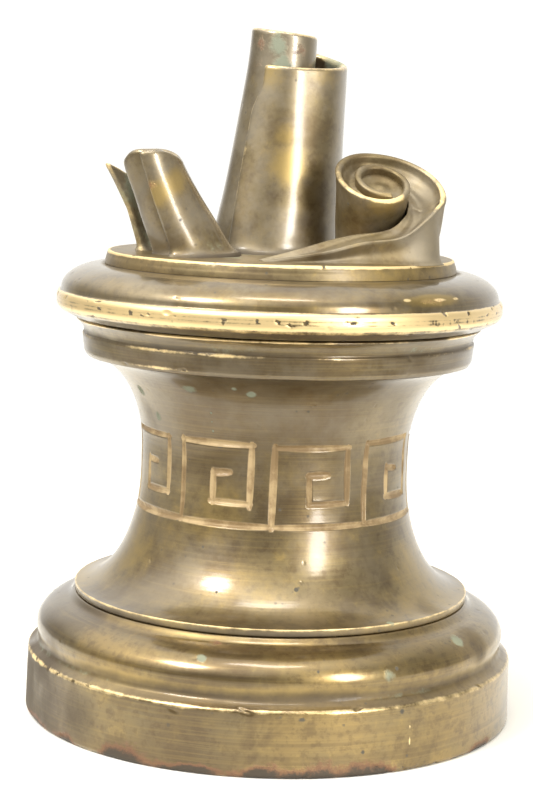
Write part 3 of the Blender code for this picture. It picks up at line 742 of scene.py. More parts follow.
def make_waist():
    top = curve_keys((26.0, 36.0), (26.0 - WAIST_RADIUS, WAIST_TOP - 36.0), 90, 180, 26)[1:]
    bottom = curve_keys((26.6, 33.0), (26.6 - WAIST_RADIUS, 16.0), 180, 267, 30)
    outer = [(25.3, WAIST_TOP + 0.15, 0.0, 0.0, 1.0), (24.4, WAIST_TOP, 0.1, 0.0, 1.0)] + top
    flange_foot, spigot_foot = FOOT_TOP + 0.88, FOOT_TOP + 0.3
    body = bottom + [(WAIST_FLANGE, 17.0, 0.10, 0.64), (26.56, flange_foot, 0.08, 0.0, 0.75)]
    spigot, bore = 25.0, 4.0
    hidden = covered_keys([(26.56, flange_foot), (spigot, flange_foot), (spigot, spigot_foot),
                           (bore, spigot_foot), (bore, WAIST_TOP), (25.3, WAIST_TOP + 0.15)])
    upper = outline(outer + [(WAIST_RADIUS, 33.0)], 0.17)
    rows = np.concatenate([upper[:-1], outline(body, 0.17), outline(hidden, 3.0)[1:-1]])
    waist = Casting(rows, ENGRAVED_ROUND)
    outside = waist.radius > 17.0
    waist.push += 0.015 * waist.waves(31, 8, 12) * outside
    engrave(waist)
    draw = random.Random(41)
    for _ in range(26):
        z = draw.choice((draw.uniform(18, 26), draw.uniform(40, 47)))
        waist.nick(draw.uniform(0, math.tau), waist.run_to(18.5, z), draw.uniform(0.2, 0.5), 0.18,
                   draw.uniform(-1.5, 1.5), 0.05, 0.5)
    high = smooth((waist.height - 26.0) / 22.0)
    skirt = 0.12 * smooth((17.3 - waist.height) / 0.4)
    waist.marks["yellow"] = (0.36 * (1.0 - high) + skirt) * (1.0 + 0.5 * waist.waves(42, 6, 6))
    # painted shade: a darker band on the waist's top, under the neck ring
    waist.paint("grime", 0.30 * np.exp(-((waist.height - 46.0) / 2.5) ** 2) * outside)
    waist.spots("grime", [((21.5, -14.5, 18.6), 4.0, 0.70), ((-17.5, -9.0, 41.0), 4.0, 0.50),
                          ((-17.0, -5.5, 30.0), 5.0, 0.45)])
    waist.spots("green", [((-3.1, -20.9, 45.4), 0.75, 1.0), ((-5.3, -21.1, 46.1), 0.5, 0.8),
                          ((-10.9, -18.2, 45.6), 0.9, 0.7, 1.8), ((-15.2, -10.9, 40.9), 0.9, 0.9),
                          ((-17.7, -9.6, 44.1), 1.1, 0.8), ((15.3, -21.3, 17.0), 0.6, 1.0),
                          ((-8.2, -17.5, 42.5), 0.22, 1.0), ((-8.1, -17.1, 41.3), 0.18, 0.9),
                          ((-7.9, -16.7, 40.1), 0.22, 0.9), ((12.0, 17.0, 44.0), 1.4, 0.8),
                          ((-9.0, 18.5, 43.0), 1.0, 0.9)])
    waist.spots("dot", [((-6.9, -16.6, 38.4), 0.55, 1.0), ((11.4, -13.5, 33.3), 0.4, 0.9),
                        ((3.3, -20.8, 20.8), 0.35, 0.8), ((-6.8, -20.5, 20.1), 0.22, 0.9),
                        ((9.0, 16.0, 33.0), 0.5, 0.9)])
    material = aged_bronze("waist_bronze", warm=0.6, brushed=0.5, grey=0.32, matt=0.35, engraved=True)
    waist.mesh("waist_casting", material, "aged_bronze", "body", "waist")


def make_neck_ring():
    outer = [(24.6, NECK_SEAT, 0.0, 0.0, 1.0), (26.8, NECK_SEAT, 0.12, 0.35, 0.4)]
    outer += [(NECK_RADIUS, NECK_SEAT - 0.25, 0.12, 0.8), (26.65, 52.35, 0.3, 0.05, 0.3)]
    outer += [(26.15, 51.7, 0.4, 0.0, 0.5), (26.0, 51.0, 0.15, 0.0, 0.7), (*NECK_BEAD, 0.15, 0.5, 0.1)]
    outer += [(26.08, 49.4, 0.5, 0.12), (*NECK_FOOT, 0.15, 0.4), (25.7, WAIST_TOP + 0.03, 0.1, 0.1, 0.5)]
    bore, recess, recess_floor = 8.3, 19.0, 50.9
    hidden = covered_keys([(25.7, WAIST_TOP + 0.03), (bore, WAIST_TOP + 0.03), (bore, recess_floor),
                           (recess, recess_floor), (recess, NECK_SEAT), (24.6, NECK_SEAT)])
    rows = np.concatenate([outline(outer, 0.16), outline(hidden, 2.0)[1:-1]])
    ring = Casting(rows, ROUND)
    outside = ring.radius > 25.0
    ring.push += 0.03 * ring.waves(51, 8, 20) * outside
    ring.nick_edge(52, 14, NECK_BEAD, 0.2, 0.4, 0.09)
    ring.nick_edge(53, 12, NECK_FOOT, 0.1, 0.4, 0.09)
    hollow = np.exp(-((ring.height - 51.6) / 0.9) ** 2) * outside
    # painted shade in the ring's hollow; the green there is patina
    ring.paint("grime", 0.34 * hollow)
    ring.marks["green"] = 0.34 * hollow * (0.9 + 0.6 * ring.waves(54, 7, 9))
    ring.marks["wear"] *= 0.80 + 0.35 * ring.waves(55, 8, 14)
    material = aged_bronze("neck_bronze", warm=0.4, brushed=0.8, grey=0.35, matt=0.2)
    ring.mesh("neck_ring_casting", material, "aged_bronze", "body", "neck_ring")


# Dents in the bright rim: angle, depth, slant
RIM_DENTS = ((-139.2, 0.10, 0.3), (-127.8, 0.12, 1.4), (-95.0, 0.08, 1.0), (-90.2, 0.12, 0.9),
             (-83.6, 0.08, -0.9), (-72.4, 0.13, 0.0), (-62.3, 0.08, 0.5))


def make_cap():
    under, bore = NECK_SEAT + 0.12, 9.4
    outer = [(22.0, CAP_TOP, 0.0, 0.0, 0.8), (23.5, CAP_TOP, 0.1, 0.0, 0.8)]
    outer += curve_keys((23.5, 56.75), (5.7, 3.28), 84, 4, 20)
    outer += [(29.25, 56.62, 0.12, 0.0, 0.45), (*RIM_TOP, 0.16, 0.9)]
    outer += [(RIM_RADIUS, 56.0, 0.25, 1.0), (*RIM_MIDDLE, 0.0, 0.9)]
    outer += [(RIM_RADIUS, 54.75, 0.35, 1.0), (29.35, 54.1, 0.35, 0.55)]
    outer += [(28.4, 53.65, 0.3, 0.0, 0.6), (27.4, under, 0.1, 0.0, 0.7)]
    hidden = covered_keys([(27.4, under), (bore, under), (bore, 55.6), (bore, CAP_TOP), (22.0, CAP_TOP)])
    rows = np.concatenate([outline(outer, 0.17), outline(hidden, 2.0)[1:-1]])
    cap = Casting(rows, ROUND)
    cap.push += 0.015 * cap.waves(61, 9, 18) * (cap.radius > 23.0)
    rim = cap.run_to(*RIM_MIDDLE)
    cap.nick_edge(62, 40, RIM_MIDDLE, 0.75, 0.42, 0.13)
    cap.nick_edge(63, 16, RIM_TOP, 0.2, 0.5, 0.16)
    cap.nick_edge(64, 14, (28.0, 58.6), 1.0, 0.35, 0.06)
    for angle, depth, slant in RIM_DENTS:
        cap.nick(math.radians(angle), rim - 0.1, 0.42, 0.2, slant, depth, 0.9)
    cap.nick(math.radians(-117.3), rim - 0.5, 0.55, 0.35, 0.0, 0.12, 0.0)
    draw = random.Random(65)
    for _ in range(16):
        cap.nick(math.radians(draw.uniform(-52.0, -30.0)), rim + draw.uniform(-0.5, 0.5), 0.4, 0.08,
                 1.5 + draw.uniform(-0.15, 0.15), 0.05, 0.4)
    cap.spots("grime", [((20.5, -18.5, 58.6), 4.5, 0.50), ((-14.0, -23.5, 57.6), 4.0, 0.35)])
    cap.marks["yellow"] = 0.18 + 0.18 * cap.waves(66, 6, 7)
    cap.spots("yellow", [((18.9, -21.4, 58.0), 1.0, 1.1, 5.0), ((-20.0, 18.0, 58.2), 1.1, 1.0, 4.0)])
    cap.spots("wear", [((15.6, -24.0, 58.1), 0.30, 0.8, 2.5), ((19.8, -20.7, 58.0), 0.32, 0.9, 4.0),
                       ((22.0, -18.5, 58.1), 0.26, 0.8, 3.0)])
    cap.spots("stain", [((18.9, -21.4, 57.7), 0.7, 0.5, 4.0)])
    material = aged_bronze("cap_bronze", warm=0.4, brushed=0.7, grey=0.45)
    cap.mesh("cap_casting", material, "aged_bronze", "screw_cap", "cap")


def make_scroll_plinth():
    keys = [(0.0, PLINTH_TOP, 0.0, 0.0, 0.2), (22.2, PLINTH_TOP, 0.3, 0.1, 0.3)]
    keys += [(*PLINTH_ARRIS, 0.12, 0.95), (PLINTH_RADIUS - 0.05, 60.6, 0.2, 0.15, 0.15)]
    seat, spigot, spigot_foot = CAP_TOP + SEAM, 19.0, 57.6
    keys += [(PLINTH_RADIUS, seat, 0.05, 0.1, 0.35), (22.5, seat, 0.05, 0.0, 0.5)]
    keys += [(spigot, seat, 0.1, 0.0, 0.4)] + covered_keys([(spigot, spigot_foot), (0.0, spigot_foot)])
    plinth = Casting(outline(keys, 0.2), ROUND, closed=False)
    worn = (plinth.height > 61.0) & (plinth.radius > 1.0)
    plinth.push += 0.05 * plinth.waves(71, 9, 7, plinth.radius) * worn
    plinth.nick_edge(72, 14, PLINTH_ARRIS, 0.12, 0.4, 0.1)
    plinth.spots("green", [((-6.5, -12.5, 61.9), 2.4, 0.7), ((-3.5, -6.5, 61.9), 2.4, 0.6)])
    plinth.marks["yellow"] = 0.25 + 0.2 * plinth.waves(73, 6, 6)
    material = aged_bronze("plinth_bronze", warm=0.5, brushed=0.25, grey=0.2, matt=0.7, coat=0.2)
    plinth.mesh("scroll_plinth_disc", material, "scroll_bronze", "screw_cap", "scroll_plinth")


# --- scrolls ------------------------------------------------------------------------------------
SHEET = 0.9                 # thickness of the cast "parchment"
ROOT = PLINTH_TOP - 0.1     # where the scrolls run into the plinth
LEAF_SHEET = 1.2            # the loose leaf is a little thicker
EDGE_STEPS = 5              # steps round a sheet's rounded edge


def hermite(points, t):
    """A smooth curve through points, one point after another at equal steps of t."""
    points = np.asarray(points, float)
    slopes = np.gradient(points, axis=0)
    at = np.clip(t, 0.0, 1.0) * (len(points) - 1)
    i = np.minimum(at.astype(int), len(points) - 2)
    f = (at - i)[..., None]
    p, q, m, n = points[i], points[i + 1], slopes[i], slopes[i + 1]
    return ((2 * f ** 3 - 3 * f ** 2 + 1) * p + (f ** 3 - 2 * f ** 2 + f) * m
            + (3 * f ** 2 - 2 * f ** 3) * q + (f ** 3 - f ** 2) * n)


def around_border(rows, columns):
    """Grid places round the border, once, counter-clockwise, as two lists."""
    places = [(i, 0) for i in range(rows - 1)]
    places += [(rows - 1, j) for j in range(columns - 1)]
    places += [(i, columns - 1) for i in range(rows - 1, 0, -1)]
    places += [(0, j) for j in range(columns - 1, 0, -1)]
    return np.array(places).T


def unit(rows):
    return rows / np.linalg.norm(rows, axis=-1, keepdims=True)


def painted_marks(places, spots):
    """Strength of a painted mark at places in mm, from (centre, reach, strength) spots."""
    painted = np.zeros(places.shape[:-1])
    for centre, reach, strength in spots:
        gap = ((places - np.array(centre)) ** 2).sum(axis=-1) / reach ** 2
        painted = np.maximum(painted, strength * np.exp(-gap))
    return painted


def sheet_waves(u, v, seed):
    """Gentle hammered unevenness over a sheet, about -1 to 1."""
    draw = random.Random(seed)
    total = 0.0 * (u + v)
    for _ in range(7):
        total = total + np.sin(draw.uniform(4, 26) * u + draw.uniform(3, 14) * v + draw.uniform(0, math.tau))
    return total / math.sqrt(7)


def cast_sheet(node, place, counts, seed, material, marks, worn, dents, thickness=SHEET, rolled=0.0):
    """A cast sheet with rounded edges. place(u, v) gives points in mm; v runs up from the plinth.

    worn is the wear of the lip and of the sides. A rolled sheet is worn on its free side only, and rolled is
    how much painted shade darkens its inside."""
    nu, nv = counts
    u = np.linspace(0.0, 1.0, nu)[:, None]
    v = (np.linspace(0.0, 1.0, nv) ** 1.25)[None, :]
    middle = place(u, v)
    du = np.gradient(middle, axis=0)
    dv = np.gradient(middle, axis=1)
    normal = unit(np.cross(du, dv))
    unevenness = sheet_waves(u, v, seed)
    rise = np.maximum(middle[..., 2] - ROOT, 0.0)
    half = 0.5 * thickness * (1.0 + 0.10 * unevenness) + 0.75 * np.exp(-rise / 0.42)
    middle = middle + normal * (0.07 * sheet_waves(u, v, seed + 1))[..., None]
    length_u = np.linalg.norm(du, axis=-1).mean() * (nu - 1)
    length_v = np.linalg.norm(dv, axis=-1).mean() * (nv - 1)
    draw = random.Random(seed)
    dark = np.zeros((nu, nv))
    for _ in range(dents):
        a, b, size = draw.random(), draw.uniform(0.1, 0.95), draw.uniform(0.25, 0.6)
        dent = np.exp(-(np.hypot((u - a) * length_u, (v - b) * length_v) / size) ** 2)
        half -= 0.06 * dent
        dark = np.maximum(dark, dent * draw.uniform(0.2, 0.7))

    i, j = around_border(nu, nv)
    outward_u = (i == nu - 1) * 1.0 - (i == 0)
    outward_v = (j == nv - 1) * 1.0 - (j == 0)
    away = unit(unit(du)[i, j] * outward_u[:, None] + unit(dv)[i, j] * outward_v[:, None])
    turns = math.pi * (np.arange(1, EDGE_STEPS) / EDGE_STEPS - 0.5)
    strips = [middle[i, j] + half[i, j, None] * (normal[i, j] * math.sin(turn) + away * math.cos(turn))
              for turn in turns]
    sides = [middle + normal * half[..., None], middle - normal * half[..., None]]
    points = np.concatenate([part.reshape(-1, 3) for part in (*sides, np.array(strips))])
    size = nu * nv
    index = np.arange(size).reshape(nu, nv)
    outside = index[i, j]
    strip_index = 2 * size + np.arange(len(turns) * len(i)).reshape(len(turns), -1)
    bands = np.concatenate([outside[None], strip_index[::-1], size + outside[None]])
    faces = np.concatenate([quads(index), quads(index)[:, ::-1] + size, quads(bands, wrap=True)])
    piece = add_piece(node + "_sheet", points, faces.tolist(), material, "screw_cap", node)

    def cover(label, front, back, border):
        values = np.concatenate([front.ravel(), back.ravel(), np.tile(border, len(turns))])
        add_mark(piece.data, label, values)

    from_top = (1.0 - v) * length_v + 0.0 * u
    from_side = ((1.0 - u) if rolled else np.minimum(u, 1.0 - u)) * length_u + 0.0 * v
    wear = np.maximum(worn[0] * np.exp(-(from_top / 0.40) ** 2), worn[1] * np.exp(-(from_side / 0.40) ** 2))
    wear *= 0.85 + 0.35 * unevenness
    cover("wear", wear, 0.6 * wear, np.where(j == nv - 1, worn[0], worn[1]) * (j > 0))
    # darker towards the plinth and in the dents
    grime = np.maximum(np.exp(-rise / 1.6) * 0.9, dark)
    grime = np.maximum(grime, painted_marks(middle, marks.get("grime", [])))
    # painted shade: a rolled sheet is darker inside
    cover("grime", grime, np.maximum(grime, rolled * (1.0 - np.exp(-from_top / 1.2))), j == 0)
    for label in marks.keys() - {"grime"}:
        painted = painted_marks(middle, marks[label])
        cover(label, painted, painted, painted[i, j])


def roll_place(roll):
    """A standing roll: in from the free edge round the right and the back, and closing into a core."""
    def place(u, v):
        v_in = v * (1.0 - 0.45 * SHEET / (roll["top"][2] - ROOT))
        angle = mix(roll["core_turn"], roll["free_edge"](v), u)
        swell = smooth((180.0 - angle) / 180.0)
        tuck = np.minimum(angle, 0.0) / 110.0
        curl_in = smooth((angle - 300.0) / 240.0)
        radius = roll["core"] + roll["swell"] * swell - roll["tuck"] * tuck ** 2 - roll["core_curl"] * curl_in
        off = angle - roll["flat_at"]
        flat = np.exp(-(off / roll["flat_width"]) ** 2) * smooth((v - roll["flat_from"]) / 0.75)
        radius = radius + flat * (roll["flat_slope"] * np.radians(off) - roll["flat_depth"])
        a = np.radians(angle)
        across, along = radius * np.cos(a), radius * np.sin(a)
        lean = math.radians(roll["lean"])
        drop = roll["lip_drop"] * smooth((180.0 - angle) / roll["lip_span"]) + roll["crown"] * np.cos(a) ** 4
        top_z = roll["top"][2] - math.sin(lean) * across - drop
        bend = 1.0 - (1.0 - v_in) ** roll["flare"]
        x = mix(roll["foot"][0] + across * roll["foot_scale"], roll["top"][0] + math.cos(lean) * across, bend)
        y = mix(roll["foot"][1] + along * roll["foot_scale"], roll["top"][1] + along, bend)
        return vectors(x, y, mix(ROOT, top_z, v_in))
    return place


def tall_free_edge(v):
    """Angle of the tall roll's free edge: straight at the lip, stepping back, then out to the root."""
    return -107.5 - 8.0 * smooth((0.93 - v) / 0.18) + 7.5 * (1.0 - np.minimum(v / 0.6, 1.0)) ** 1.3


def left_free_edge(v):
    return -97.0 - 6.0 * (1.0 - v)


TALL_ROLL = {
    "foot": (-3.85, 5.0), "top": (-0.5, 4.5, 91.05), "lean": 7.0, "core": 4.0, "swell": 4.1, "tuck": 1.3,
    "core_curl": 0.9, "foot_scale": 1.38, "lip_drop": 4.7, "lip_span": 290.0, "crown": 0.0, "flare": 1.35,
    "core_turn": 470.0, "free_edge": tall_free_edge,
    "flat_at": -54.0, "flat_width": 20.0, "flat_depth": 0.36, "flat_slope": 0.95, "flat_from": 0.28,
}
LEFT_ROLL = {
    "foot": (-12.0, -8.4), "top": (-17.5, -9.4, 75.3), "lean": -3.0, "core": 2.75, "swell": 1.3, "tuck": 0.05,
    "core_curl": 0.9, "foot_scale": 1.4, "lip_drop": 0.2, "lip_span": 290.0, "crown": 1.3, "flare": 1.1,
    "core_turn": 430.0, "free_edge": left_free_edge,
    "flat_at": -50.0, "flat_width": 25.0, "flat_depth": 0.36, "flat_slope": 0.0, "flat_from": -0.4,
}


def leaf_place(u, v):
    """The loose leaf that springs away behind the left roll."""
    u, v = np.broadcast_arrays(u, v)
    v = v * 0.97
    foot = vectors(mix(-13.5, -18.2, u), mix(-0.5, -3.2, u), ROOT)
    top = vectors(mix(-18.3, -22.9, u), mix(-2.2, -6.0, u), mix(70.6, 73.2, u ** 1.5))
    bulge = (0.9 * np.sin(math.pi * v) + 0.5 * np.sin(math.pi * u)) * 0.5
    return mix(foot, top, v[..., None]) + vectors(bulge, bulge, 0.0)


# The right scroll: a leaning volute whose last turn runs out as a tail along the plinth's front
FACE = np.array((12.7, -8.0, 72.0))
FACE_FOOT = np.array((12.2, -4.5, ROOT))
FACE_TILT = math.radians(31.0)
FACE_SIDE = math.radians(10.0)
FACE_RIGHT = np.array((math.cos(FACE_SIDE), 0.0, -math.sin(FACE_SIDE)))
FACE_BACK = np.array((0.0, math.cos(FACE_TILT), math.sin(FACE_TILT)))
FACE_UP = np.array((0.0, -math.sin(FACE_TILT), math.cos(FACE_TILT)))
SPIRAL_START = 68.0
SPIRAL_END = 735.0
TAIL_RIM = [(18.7, -13.2, 67.5), (15.2, -15.8, 65.2), (10.1, -17.3, 64.45), (5.1, -18.4, 63.1),
            (-2.4, -18.7, 61.95)]
TAIL_BACK = [(15.7, -10.4, 67.7), (13.7, -12.3, 66.2), (8.8, -13.8, 65.3), (3.0, -15.8, 63.7),
             (-2.8, -17.8, 62.1)]
TAIL_FOOT = [(20.0, -12.6, ROOT), (15.9, -15.1, ROOT), (10.2, -16.5, ROOT), (4.9, -17.6, ROOT),
             (-2.4, -18.5, ROOT)]
DISH_RADIUS = 3.05
DISH_DEPTH = 0.72
DISH_THICKNESS = 0.9


def spiral_radius(turn):
    """Radius of the volute's rim in mm, at a turn in degrees from its inner end."""
    steps = 2.3 * smooth((turn - 360.0) / 150.0) + 2.2 * smooth((turn - 615.0) / 120.0)
    return 3.0 + 0.3 * turn / 360.0 + steps


def spiral_wall(turn, offset):
    """Foot and rim of one face of the volute's sheet, at a distance in mm outside its middle."""
    a = -np.radians(np.asarray(turn, float))[:, None]
    reach = spiral_radius(turn)[:, None]
    rim = FACE + (reach + offset) * (FACE_RIGHT * np.cos(a) + FACE_BACK * np.sin(a))
    around = np.concatenate([np.cos(a), np.sin(a), 0.0 * a], axis=1)
    foot = FACE_FOOT + (reach * 0.8 + offset) * around
    return foot, rim


class ScrollSkin:
    """The right scroll as rows of points up the outside, over the lip, across the trough and down inside.

    Each part yields (points, wear, grime) row by row."""

    def __init__(self, spiral_steps=330, tail_steps=150):
        turn = np.linspace(SPIRAL_START, SPIRAL_END, spiral_steps)
        t = np.linspace(0.0, 1.0, tail_steps + 1)
        spiral = self.spiral_lines(turn)
        tail = self.tail_lines([line[-1] for line in spiral], t)
        joined = [np.concatenate([line, run_out[1:]]) for line, run_out in zip(spiral, tail)]
        self.foot_out, self.rim_out, self.rim_in, self.edge, self.foot_in = joined
        self.tail = np.concatenate([np.zeros(spiral_steps), t[1:]])
        self.along = np.concatenate([turn, SPIRAL_END + 200.0 * t[1:]])
        self.unevenness = sheet_waves(np.linspace(0.0, 1.0, len(self.tail)), 0.0, 104)

    def spiral_lines(self, turn):
        """Outer foot and rim, inner rim, the trough's far edge and the inner foot along the volute."""
        foot_out, rim_out = spiral_wall(turn, 0.5 * SHEET)
        foot_in, rim_in = spiral_wall(turn, -0.5 * SHEET)
        _, coil = spiral_wall(turn - 360.0, 0.3)
        depth = 0.85 + 1.5 * smooth((turn - 600.0) / 130.0)
        trough = coil - depth[:, None] * FACE_UP
        edge = mix(rim_in - 1.4 * FACE_UP, trough, smooth((turn - 415.0) / 40.0)[:, None])
        spread = 1.3 * smooth((turn - 640.0) / 100.0)[:, None]
        a = np.radians(turn)
        foot_out = foot_out + spread * vectors(np.cos(a), -np.sin(a), 0.0)
        return foot_out, rim_out, rim_in, edge, foot_in

    def tail_lines(self, ends, t):
        """The same lines along the tail, from where they end on the volute."""
        foot_out, rim_out, _, edge_end, foot_in_end = ends
        rim = hermite([rim_out, *TAIL_RIM], t)
        edge = hermite([edge_end, *TAIL_BACK], t)
        lip = rim + unit(edge - rim) * mix(SHEET, 0.45, smooth(t * 2.0))[:, None]
        foot_in = edge + np.array((0.0, 0.6, 0.0))
        foot_in[:, 2] = ROOT
        foot_in = mix(foot_in_end, foot_in, smooth(t * 5.0)[:, None])
        return hermite([foot_out, *TAIL_FOOT], t), rim, lip, edge, foot_in

    def wall(self, steps=26):
        outward = self.rim_out - self.rim_in
        outward[:, 2] = 0.0
        outward = unit(outward)
        for k in range(steps):
            v = (k / steps) ** 1.2
            row = mix(self.foot_out, self.rim_out, v ** 1.5)
            row[:, 2] = mix(self.foot_out[:, 2], self.rim_out[:, 2], v)
            rise = row[:, 2] - ROOT
            bulge = 0.75 * np.exp(-rise / 0.5) + 0.08 * sheet_waves(self.along / 400.0, v, 105)
            # darker towards the plinth
            grime = mix(0.9 * np.exp(-rise / 0.9), 0.25 * np.exp(-rise / 0.5), smooth(self.tail * 6.0))
            yield row + outward * bulge[:, None], 0.30 * smooth((v - 0.85) / 0.15), grime

    def lip(self, steps=8):
        middle = 0.5 * (self.rim_out + self.rim_in)
        half = 0.5 * (self.rim_out - self.rim_in)
        thick = np.linalg.norm(half, axis=1, keepdims=True) * (1.0 + 0.10 * self.unevenness[:, None])
        for k in range(steps + 1):
            bend = math.pi * k / steps
            row = middle + half * math.cos(bend) + FACE_UP * thick * 0.8 * math.sin(bend)
            yield row, 0.35 + (0.45 + 0.2 * self.unevenness) * math.sin(bend), 0.0

    def trough(self, steps=26):
        step = mix(0.40, 0.12, smooth((self.along - 620.0) / 120.0))[:, None]
        across = np.linalg.norm(self.edge - self.rim_in, axis=1, keepdims=True)
        hollow = 0.25 + 0.10 * across * (1.0 - 0.6 * self.tail[:, None])
        for k in range(1, steps + 1):
            share = k / steps
            lift = step * (1.0 - smooth(share / 0.12)) - hollow * math.sin(math.pi * share) ** 0.8
            lift = lift + 0.06 * sheet_waves(self.along / 300.0, share, 106)[:, None]
            row = mix(self.rim_in - FACE_UP * step, self.edge, share) + FACE_UP * lift
            near = np.linalg.norm(row - self.rim_in, axis=1)
            wear = 0.30 * np.exp(-(near / 0.5) ** 2)
            wear += 0.45 * smooth(self.tail * 8.0) * math.exp(-((1 - share) / 0.1) ** 2)
            # painted shade: the trough darkens towards the coil that overhangs it
            yield row, wear, (0.12 + 0.30 * share ** 3) * (1.0 - smooth(self.tail * 5.0))

    def inner_wall(self, steps=12):
        for k in range(1, steps + 1):
            # painted shade under the coil
            yield mix(self.edge, self.foot_in, k / steps), 0.0, 0.5

    def gilt(self):
        """How bright the worn edge is along the scroll."""
        front = 0.55 * smooth((self.along - 395.0) / 40.0) * smooth((600.0 - self.along) / 60.0)
        return 0.30 + front + 0.30 * smooth((self.along - 660.0) / 40.0) * smooth((800.0 - self.along) / 60.0)


def make_right_scroll(material, marks):
    """The volute and its tail in one skin, closed at both ends."""
    skin = ScrollSkin()
    rows = [*skin.wall(), *skin.lip(), *skin.trough(), *skin.inner_wall()]
    grid = np.stack([row for row, _, _ in rows], axis=1)
    index = np.arange(grid[..., 0].size).reshape(grid.shape[:2])
    faces = quads(index, wrap=True).tolist() + [index[0].tolist(), index[-1, ::-1].tolist()]
    piece = add_piece("right_scroll_casting", grid.reshape(-1, 3), faces, material,
                      "screw_cap", "right_scroll")
    even = np.ones(len(grid))
    add_mark(piece.data, "wear", np.stack([wear * skin.gilt() for _, wear, _ in rows], axis=1).ravel())
    add_mark(piece.data, "grime", np.stack([grime * even for _, _, grime in rows], axis=1).ravel())
    for label, spots in marks.items():
        add_mark(piece.data, label, painted_marks(grid, spots).ravel())


def make_volute_dish(material):
    """The dished middle of the volute."""
    a = np.linspace(0.0, math.tau, 96, endpoint=False)[None, :, None]
    share = np.linspace(0.0, 1.0, 18)[:, None, None]
    sunk = DISH_DEPTH + 0.30 * np.sin(math.pi * np.minimum(share * 1.15, 1.0)) ** 2
    top = FACE + DISH_RADIUS * share * (FACE_RIGHT * np.cos(a) + FACE_BACK * np.sin(a)) - sunk * FACE_UP
    grid = np.concatenate([top, top[::-1] - (0.0, 0.0, DISH_THICKNESS)])
    index, keep = weld_poles(grid.shape[:2], (0, len(grid) - 1))
    points = grid.reshape(-1, 3)[keep]
    dish = add_piece("volute_dish", points, corners_once(quads(index, wrap=True)), material,
                     "screw_cap", None)
    add_mark(dish.data, "wear", np.full(len(points), 0.12))
    add_mark(dish.data, "grime", np.full(len(points), 0.22))


def make_scrolls():
    bronze = aged_bronze("roll_bronze", warm=0.6, brushed=0.15, grey=0.7, matt=0.50, coat=1.0)
    dull_bronze = aged_bronze("volute_bronze", warm=0.6, brushed=0.08, grey=0.75, matt=0.95, coat=0.0)
    tall_marks = {
        "green": [((-1.4, 0.1, 89.3), 1.9, 1.0), ((-0.6, -0.2, 86.8), 1.8, 0.9), ((0.6, 2.0, 90.0), 1.0, 0.5),
                  ((6.5, 7.0, 87.0), 3.5, 1.0), ((-9.0, 1.0, 76.0), 3.0, 0.42),
                  ((-6.5, -5.4, 63.0), 1.5, 0.8), ((-8.6, -3.0, 62.5), 1.6, 0.6)],
        "stain": [((-3.6, 1.6, 89.6), 1.3, 0.60), ((1.8, 0.6, 88.6), 1.3, 0.60),
                  ((-3.4, 1.6, 87.0), 1.4, 0.3)],
        "yellow": [((0.5, -4.1, 73.7), 3.0, 1.0), ((0.0, -4.0, 77.5), 2.0, 0.8),
                   ((-3.0, -3.2, 86.0), 3.2, 0.8), ((5.0, -1.5, 86.0), 3.0, 0.6),
                   ((-4.0, -6.0, 64.0), 3.0, 0.5)],
        "grime": [((5.0, -2.4, 75.0), 2.8, 0.74), ((5.2, -2.4, 70.0), 3.2, 0.86),
                  ((5.6, -3.0, 65.0), 3.6, 0.80), ((3.4, -3.2, 71.5), 2.2, 0.78),
                  ((3.4, -3.8, 66.5), 2.8, 0.82), ((1.8, 0.4, 87.8), 1.5, 0.45)],
        "dot": [((3.9, -2.8, 79.9), 0.5, 0.7), ((3.2, -3.0, 82.4), 0.35, 0.6),
                ((4.0, -2.6, 75.5), 0.55, 0.7)],
    }
    left_marks = {
        "green": [((-8.2, -12.8, 63.4), 1.9, 0.7), ((-10.0, -13.8, 64.8), 1.2, 0.4)],
        "yellow": [((-16.2, -14.0, 69.6), 1.9, 1.2), ((-13.4, -12.9, 71.5), 2.2, 1.0)],
        "stain": [((-16.6, -13.8, 70.8), 1.0, 0.45)],
        # painted shade: these spots darken the roll's left flank, away from the light
        "grime": [((-20.3, -11.4, 72.6), 2.0, 0.72), ((-18.9, -11.0, 68.5), 2.0, 0.70),
                  ((-17.4, -10.8, 65.5), 2.0, 0.6)],
    }
    leaf_marks = {"green": [((-16.6, -3.0, 65.5), 4.0, 0.95), ((-19.0, -3.8, 70.0), 3.5, 0.95)]}
    volute_marks = {
        "yellow": [((12.7, -12.5, 69.5), 3.5, 0.7), ((9.0, -16.5, 63.5), 3.0, 0.4)],
        "green": [((20.5, -9.5, 63.0), 1.6, 0.5)],
        "dot": [((14.6, -12.7, 69.5), 0.5, 0.9), ((13.2, -13.0, 69.4), 0.4, 0.9),
                ((9.6, -5.0, 74.0), 0.4, 0.6)],
    }
    cast_sheet("tall_scroll", roll_place(TALL_ROLL), (300, 110), 101, bronze, tall_marks, (0.55, 0.50), 16,
               rolled=0.1)
    cast_sheet("left_scroll", roll_place(LEFT_ROLL), (200, 60), 102, bronze, left_marks, (0.34, 0.12), 8,
               rolled=0.5)
    cast_sheet("left_leaf", leaf_place, (36, 50), 103, dull_bronze, leaf_marks, (0.55, 0.50), 2,
               thickness=LEAF_SHEET)
    make_right_scroll(dull_bronze, volute_marks)
    make_volute_dish(dull_bronze)


# --- inside: plate, felt, paper and the ring that grips it ---------------------------------------
def machined_brass():
    """Plain turned brass, a little tarnished."""
    s = Shader("machined_brass_old")
    lines = s.noise(1.0, 3.0, 0.6, vector=s.rings(40.0, 3800.0))
    cloud = s.noise(130.0, 5.0, 0.6)
    fine = s.noise(800.0, 4.0, 0.65)
    colour = s.blend(s.window(cloud, 0.40, 0.66), (0.62, 0.46, 0.20), (0.48, 0.34, 0.15))
    colour = s.tint(colour, s.window(fine, 0.58, 0.74), 0.6, BROWN)
    rough = s.plus(0.22, s.times(cloud, 0.22))
    normal = s.bump(fine, 0.15, 0.00005, s.bump(lines, 0.30, 0.00004))
    return s.finish(colour, rough, 1.0, normal)


